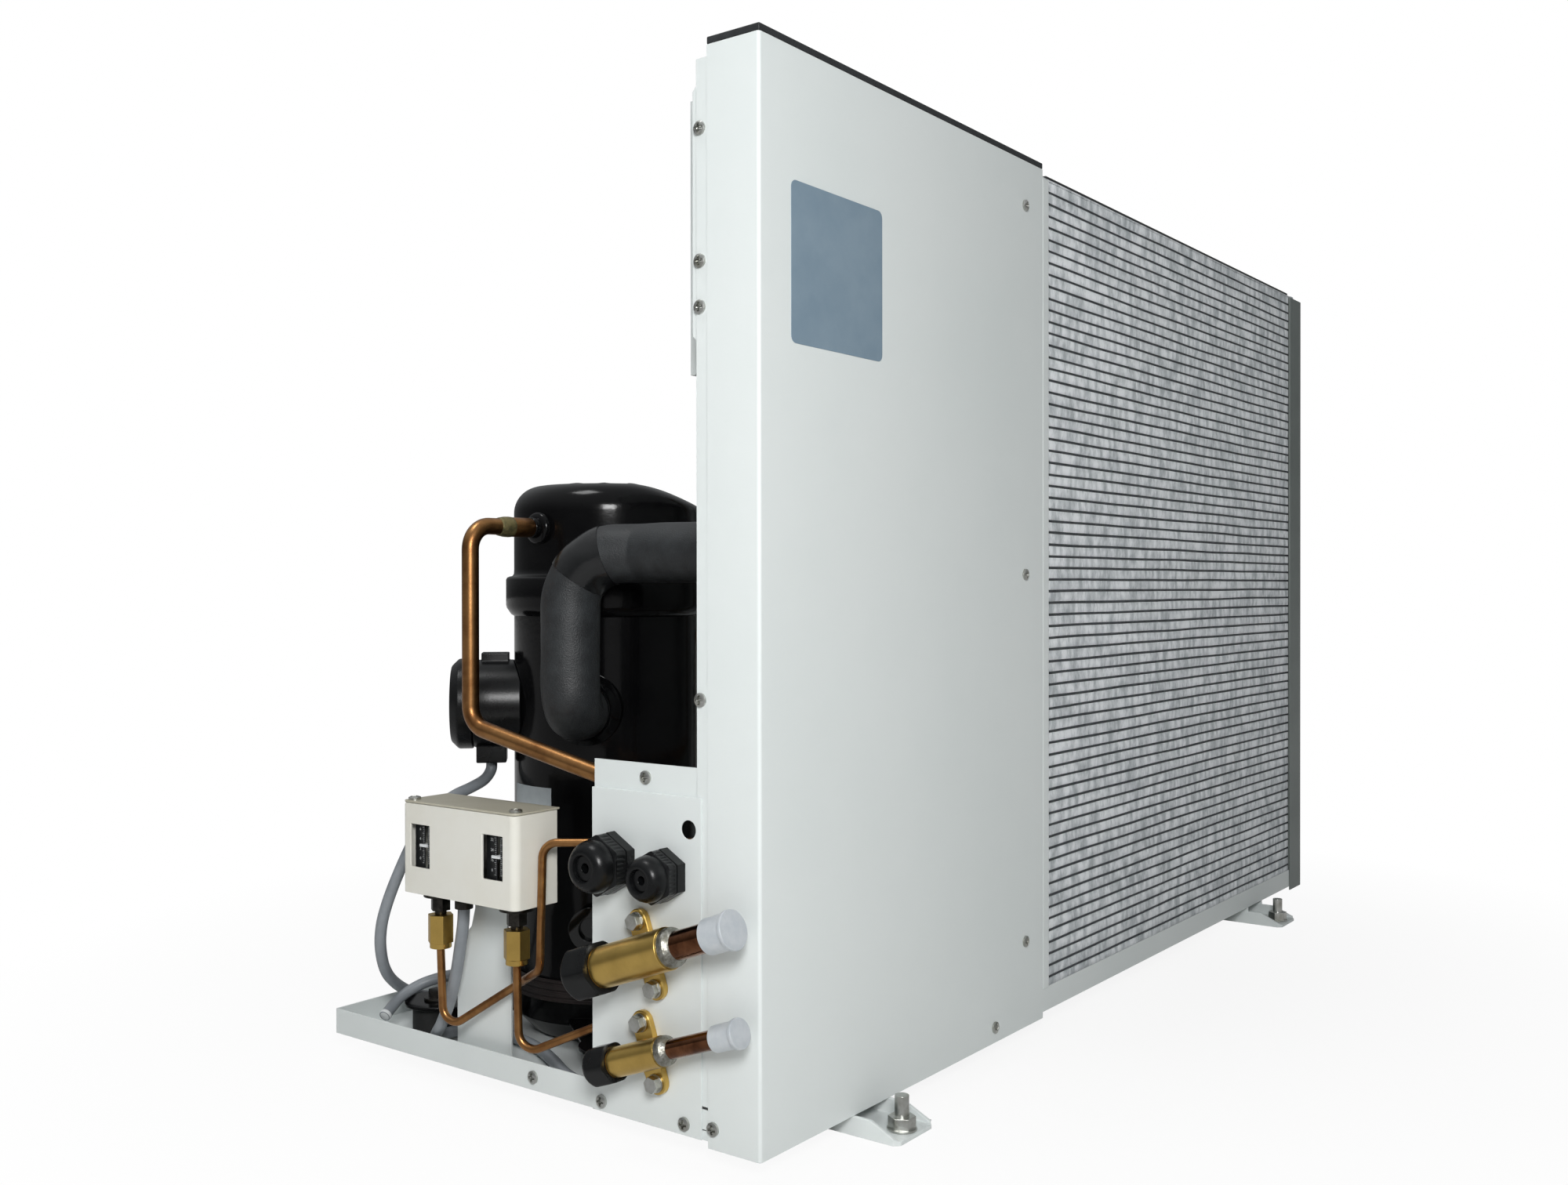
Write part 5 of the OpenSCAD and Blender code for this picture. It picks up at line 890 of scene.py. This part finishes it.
def makeShell(setup):
    r, low, high = setup["shell"], setup["footTop"], setup["seam"]
    inside = r - setup["wall"]
    profile = [(inside, low), (r, low), (r, low + 6), (r, 200.0), (r, high - 12), (r, high), (inside, high),
               (inside, high - 20), (inside, low + 20), (inside, low)]
    shell = turnedMesh("shell", profile, (setup["x"], setup["y"], 0), (0, 0, 1), 160)
    azimuth = math.radians(setup["bossAzimuth"])
    out = (math.cos(azimuth), math.sin(azimuth), 0)
    profile = [(0, 70), (29, 70), (28.5, 77.4), (26, 79.6), (23.2, 81.6), (22, 84), (22, 88.9), (21.2, 90.2),
               (19, 90.5), (0, 90.5)]
    boss = turnedMesh("boss", profile, (setup["x"], setup["y"], setup["bossHeight"]), out)
    whole = joined("compressorShell", [shell, boss])
    finishPiece(whole, "frame", "black_enamel", ["compressor_shell"])


makeCrown(compressor)
makeShell(compressor)
print("compressor made")

# Pipes, each with its radius, its bends' radius, its sides and its corners
pipes = {
    "dischargePipe": (6.35, 18, 24, [
        (63.95, 275, 424.2), (4, 275, 424.2), (4, 275, 276), (18, 111.5, 237), (42, 111.5, 231), (354.3, 111.5, 231),
        (354.3, 111.5, 664), (372, 77.5, 664), (372, 37.5, 664)]),
    "suctionPipe": (9.5, 26, 24, [
        (-8, 92.5, 133.5), (8, 92.5, 133.5), (74, 86, 133.5), (74, 66, 225.5), (74, 66, 403.2), (74, 167, 403.2),
        (50, 217, 403.2), (50, 217, 283.7), (73.6, 229.75, 283.7)]),
    "liquidPipe": (5.0, 16, 24, [
        (-8, 90.5, 68.5), (30, 90.5, 68.5), (90, 60.5, 54.5), (277, 60.5, 54.5), (307, 205, 69.2), (307, 245, 69.2)]),
    "condensatePipe": (5.0, 16, 24, [
        (372, 37.5, 104), (372, 97.5, 104), (337, 195, 224), (337, 195, 334.2), (337, 250.8, 334.2)]),
    "lowPressureTube": (3.0, 11, 16, [
        (-8, 295, 134.5), (-8, 295, 107.5), (-8, 292, 47), (6, 228, 89), (-10.5, 187, 109.7), (-8.5, 186, 199),
        (14, 146.5, 200), (66.9, 78.6, 200)]),
    "highPressureTube": (3.0, 12, 16, [
        (-8, 213, 134.5), (-8, 213, 107.5), (-8, 211, 44), (12, 144.5, 75), (26, 96.1, 69.5)]),
}
pipePieces = {name: painted(tubeMesh(name, filletPath(points, [bend] * len(points)), radius, sides), "copper")
              for name, (radius, bend, sides, points) in pipes.items()}
collarAt = (39.95, 275, compressor["portHeight"])
collar = painted(turnedMesh("collar", [(6.4, 0), (7.3, 0), (7.55, 0.6), (7.55, 23.2), (7.3, 23.95), (6.4, 23.95),
                                       (6.4, 0)], collarAt, (1, 0, 0)), "copper")
braze = painted(turnedMesh("braze", [(6.4, -9), (6.9, -8), (7.75, -3), (7.9, 1.5), (7.7, 4), (6.4, 4), (6.4, -9)],
                           collarAt, (1, 0, 0)), "brazedCollar")
for name, node, runs, extras in [
        ("dischargeLine", "discharge_pipe", ["dischargePipe"], [collar, braze]),
        ("suctionAndLiquidLines", "inner_pipes", ["suctionPipe", "liquidPipe", "condensatePipe"], []),
        ("switchTubes", "switch_tubes", ["lowPressureTube", "highPressureTube"], [])]:
    finishPiece(joined(name, [pipePieces[run] for run in runs] + extras), "frame", None, [node])

# Foam sleeve on the suction pipe with its band of tape
foamRun = [(74, 66, 263.5), (74, 66, 403.2), (74, 167, 403.2), (50, 217, 403.2), (50, 217, 283.7),
           (72.9, 229.35, 283.7)]
foamPath = filletPath(foamRun, (26, 26, 40, 26), 5.0, 0.75)
foamRadius, foamWobble, tapeNear, tapeReach = 22.0, 0.8, Vector((57, 204, 399)), 5


def evenPath(path, step):
    even, carry = [path[0]], 0.0
    for a, b in zip(path, path[1:]):
        length = (b - a).length
        while carry + length >= step:
            a = a + (b - a).normalized() * (step - carry)
            length = (b - a).length
            even.append(a)
            carry = 0.0
        carry += length
    return even + [path[-1]]


foamEven = evenPath(foamPath, 3.0)
sleeve = painted(tubeMesh("foamSleeve", foamEven, foamRadius, 48, foamWobble), "foam")
tapeAt = min(range(len(foamEven)), key=lambda i: (foamEven[i] - tapeNear).length)
tapePath = foamEven[tapeAt - tapeReach:tapeAt + tapeReach + 1]
tape = painted(tubeMesh("foamTape", tapePath, foamRadius + 0.7, 48, foamWobble), "glossTape")
finishPiece(joined("suctionSleeve", [sleeve, tape]), "frame", None, ["suction_insulation"])
print("pipes made")

# Coil: corrugated fins between flat tubes
coil = {"start": 383.0, "end": 1045.0, "front": 3.0, "depth": 25.0, "firstTube": 44.0, "pitch": 10.0, "tubes": 68,
        "tubeHeight": 2.0, "finPitch": 2.6, "finThickness": 0.12, "finFront": 3.2, "finBack": 27.5,
        "headers": (372, 1056), "middle": 15.5, "ports": (104, 664), "plateThickness": 1.5, "sway": 0.7}


def finStrip(setup):
    low = setup["firstTube"] - setup["pitch"] + setup["tubeHeight"] / 2
    high = low + setup["pitch"] - setup["tubeHeight"]
    front, back = setup["finFront"], setup["finBack"]
    half = setup["finThickness"] / 2
    folds = int((setup["end"] - setup["start"]) / setup["finPitch"] * 2)
    points, faces = [], []
    for i in range(folds + 1):
        x = setup["start"] + i * setup["finPitch"] / 2
        z = low + 0.1 if i % 2 == 0 else high - 0.1
        for dx in (-half, half):
            points += [place(x + dx, front, z), place(x + dx, back, z)]
    for i in range(folds):
        a, b = 4 * i, 4 * i + 4
        faces += [(a, b, b + 1, a + 1), (a + 2, a + 3, b + 3, b + 2), (a, a + 2, b + 2, b),
                  (a + 1, b + 1, b + 3, a + 3)]
    faces += [(0, 1, 3, 2), (4 * folds, 4 * folds + 2, 4 * folds + 3, 4 * folds + 1)]
    return meshPiece("finStrip", points, faces)


# Tubes and fins that sway a little up and down along the coil
def waved(piece, setup):
    for vertex in piece.data.vertices:
        at = vertex.co
        at.z += noise.noise(Vector((at.x * 9, 0.0, at.z * 60))) * setup["sway"] * mm
    return piece


def flatTube(setup):
    r = setup["tubeHeight"] / 2
    section = []
    for middle, first in ((setup["front"] + r, 90), (setup["front"] + setup["depth"] - r, -90)):
        for i in range(7):
            a = math.radians(first + 30 * i)
            section.append((middle + r * math.cos(a), r * math.sin(a)))
    spans = 44
    points = []
    for i in range(spans + 1):
        x = setup["start"] - 5 + (setup["end"] - setup["start"] + 8) * i / spans
        points += [place(x, y, setup["firstTube"] + z) for y, z in section]
    return meshPiece("flatTube", points, runFaces(spans + 1, len(section)))


# the flat tubes carry the dark grey painted shade of the shadow between the fins
tubes = waved(grown("flatTubes", flatTube(coil), repeatTree("tubeRow", finishes["tubePaintedShade"]),
                    {"Count": coil["tubes"], "Step": (0, 0, coil["pitch"] * mm)}), coil)
coilTop = coil["firstTube"] + (coil["tubes"] - 1) * coil["pitch"] + coil["tubeHeight"] / 2
boxFaces = [(0, 1, 3, 2), (4, 6, 7, 5), (0, 4, 5, 1), (2, 3, 7, 6), (0, 2, 6, 4), (1, 5, 7, 3)]
near, far = coil["headers"]
ends = []
for height in (coil["firstTube"] - coil["pitch"] + 1 - coil["plateThickness"],
               coilTop + coil["pitch"] - coil["tubeHeight"]):
    low = place(near, coil["front"], height)
    high = place(far, coil["front"] + coil["depth"], height + coil["plateThickness"])
    corners = [(x, y, z) for x in (low.x, high.x) for y in (low.y, high.y) for z in (low.z, high.z)]
    ends.append(meshPiece("sidePlate", corners, boxFaces))
for x in coil["headers"]:
    profile = [(0, 31.5), (9, 31.5), (11.4, 32.3), (12, 34), (12, 724.5), (11.4, 726.2), (9, 727), (0, 727)]
    ends.append(turnedMesh("header", profile, (x, coil["middle"], 0), (0, 0, 1), 40))
for z in coil["ports"]:
    profile = [(0, 10), (6.6, 10), (6.6, 22), (0, 22)]
    ends.append(turnedMesh("stub", profile, (near, coil["middle"], z), (0, 1, 0), 24))
ends = [painted(piece, "coil_aluminium") for piece in ends]
finishPiece(joined("coilTubes", [tubes] + ends), "frame", None, ["coil_core"], smooth=30)
fins = waved(grown("coilFins", finStrip(coil), repeatTree("finRow", finishes["coil_aluminium"]),
                   {"Count": coil["tubes"] + 1, "Step": (0, 0, coil["pitch"] * mm)}), coil)
finishPiece(fins, "frame", None, ["coil_fins"], smooth=20)
print("coil fins made:", len(fins.data.polygons), "faces")
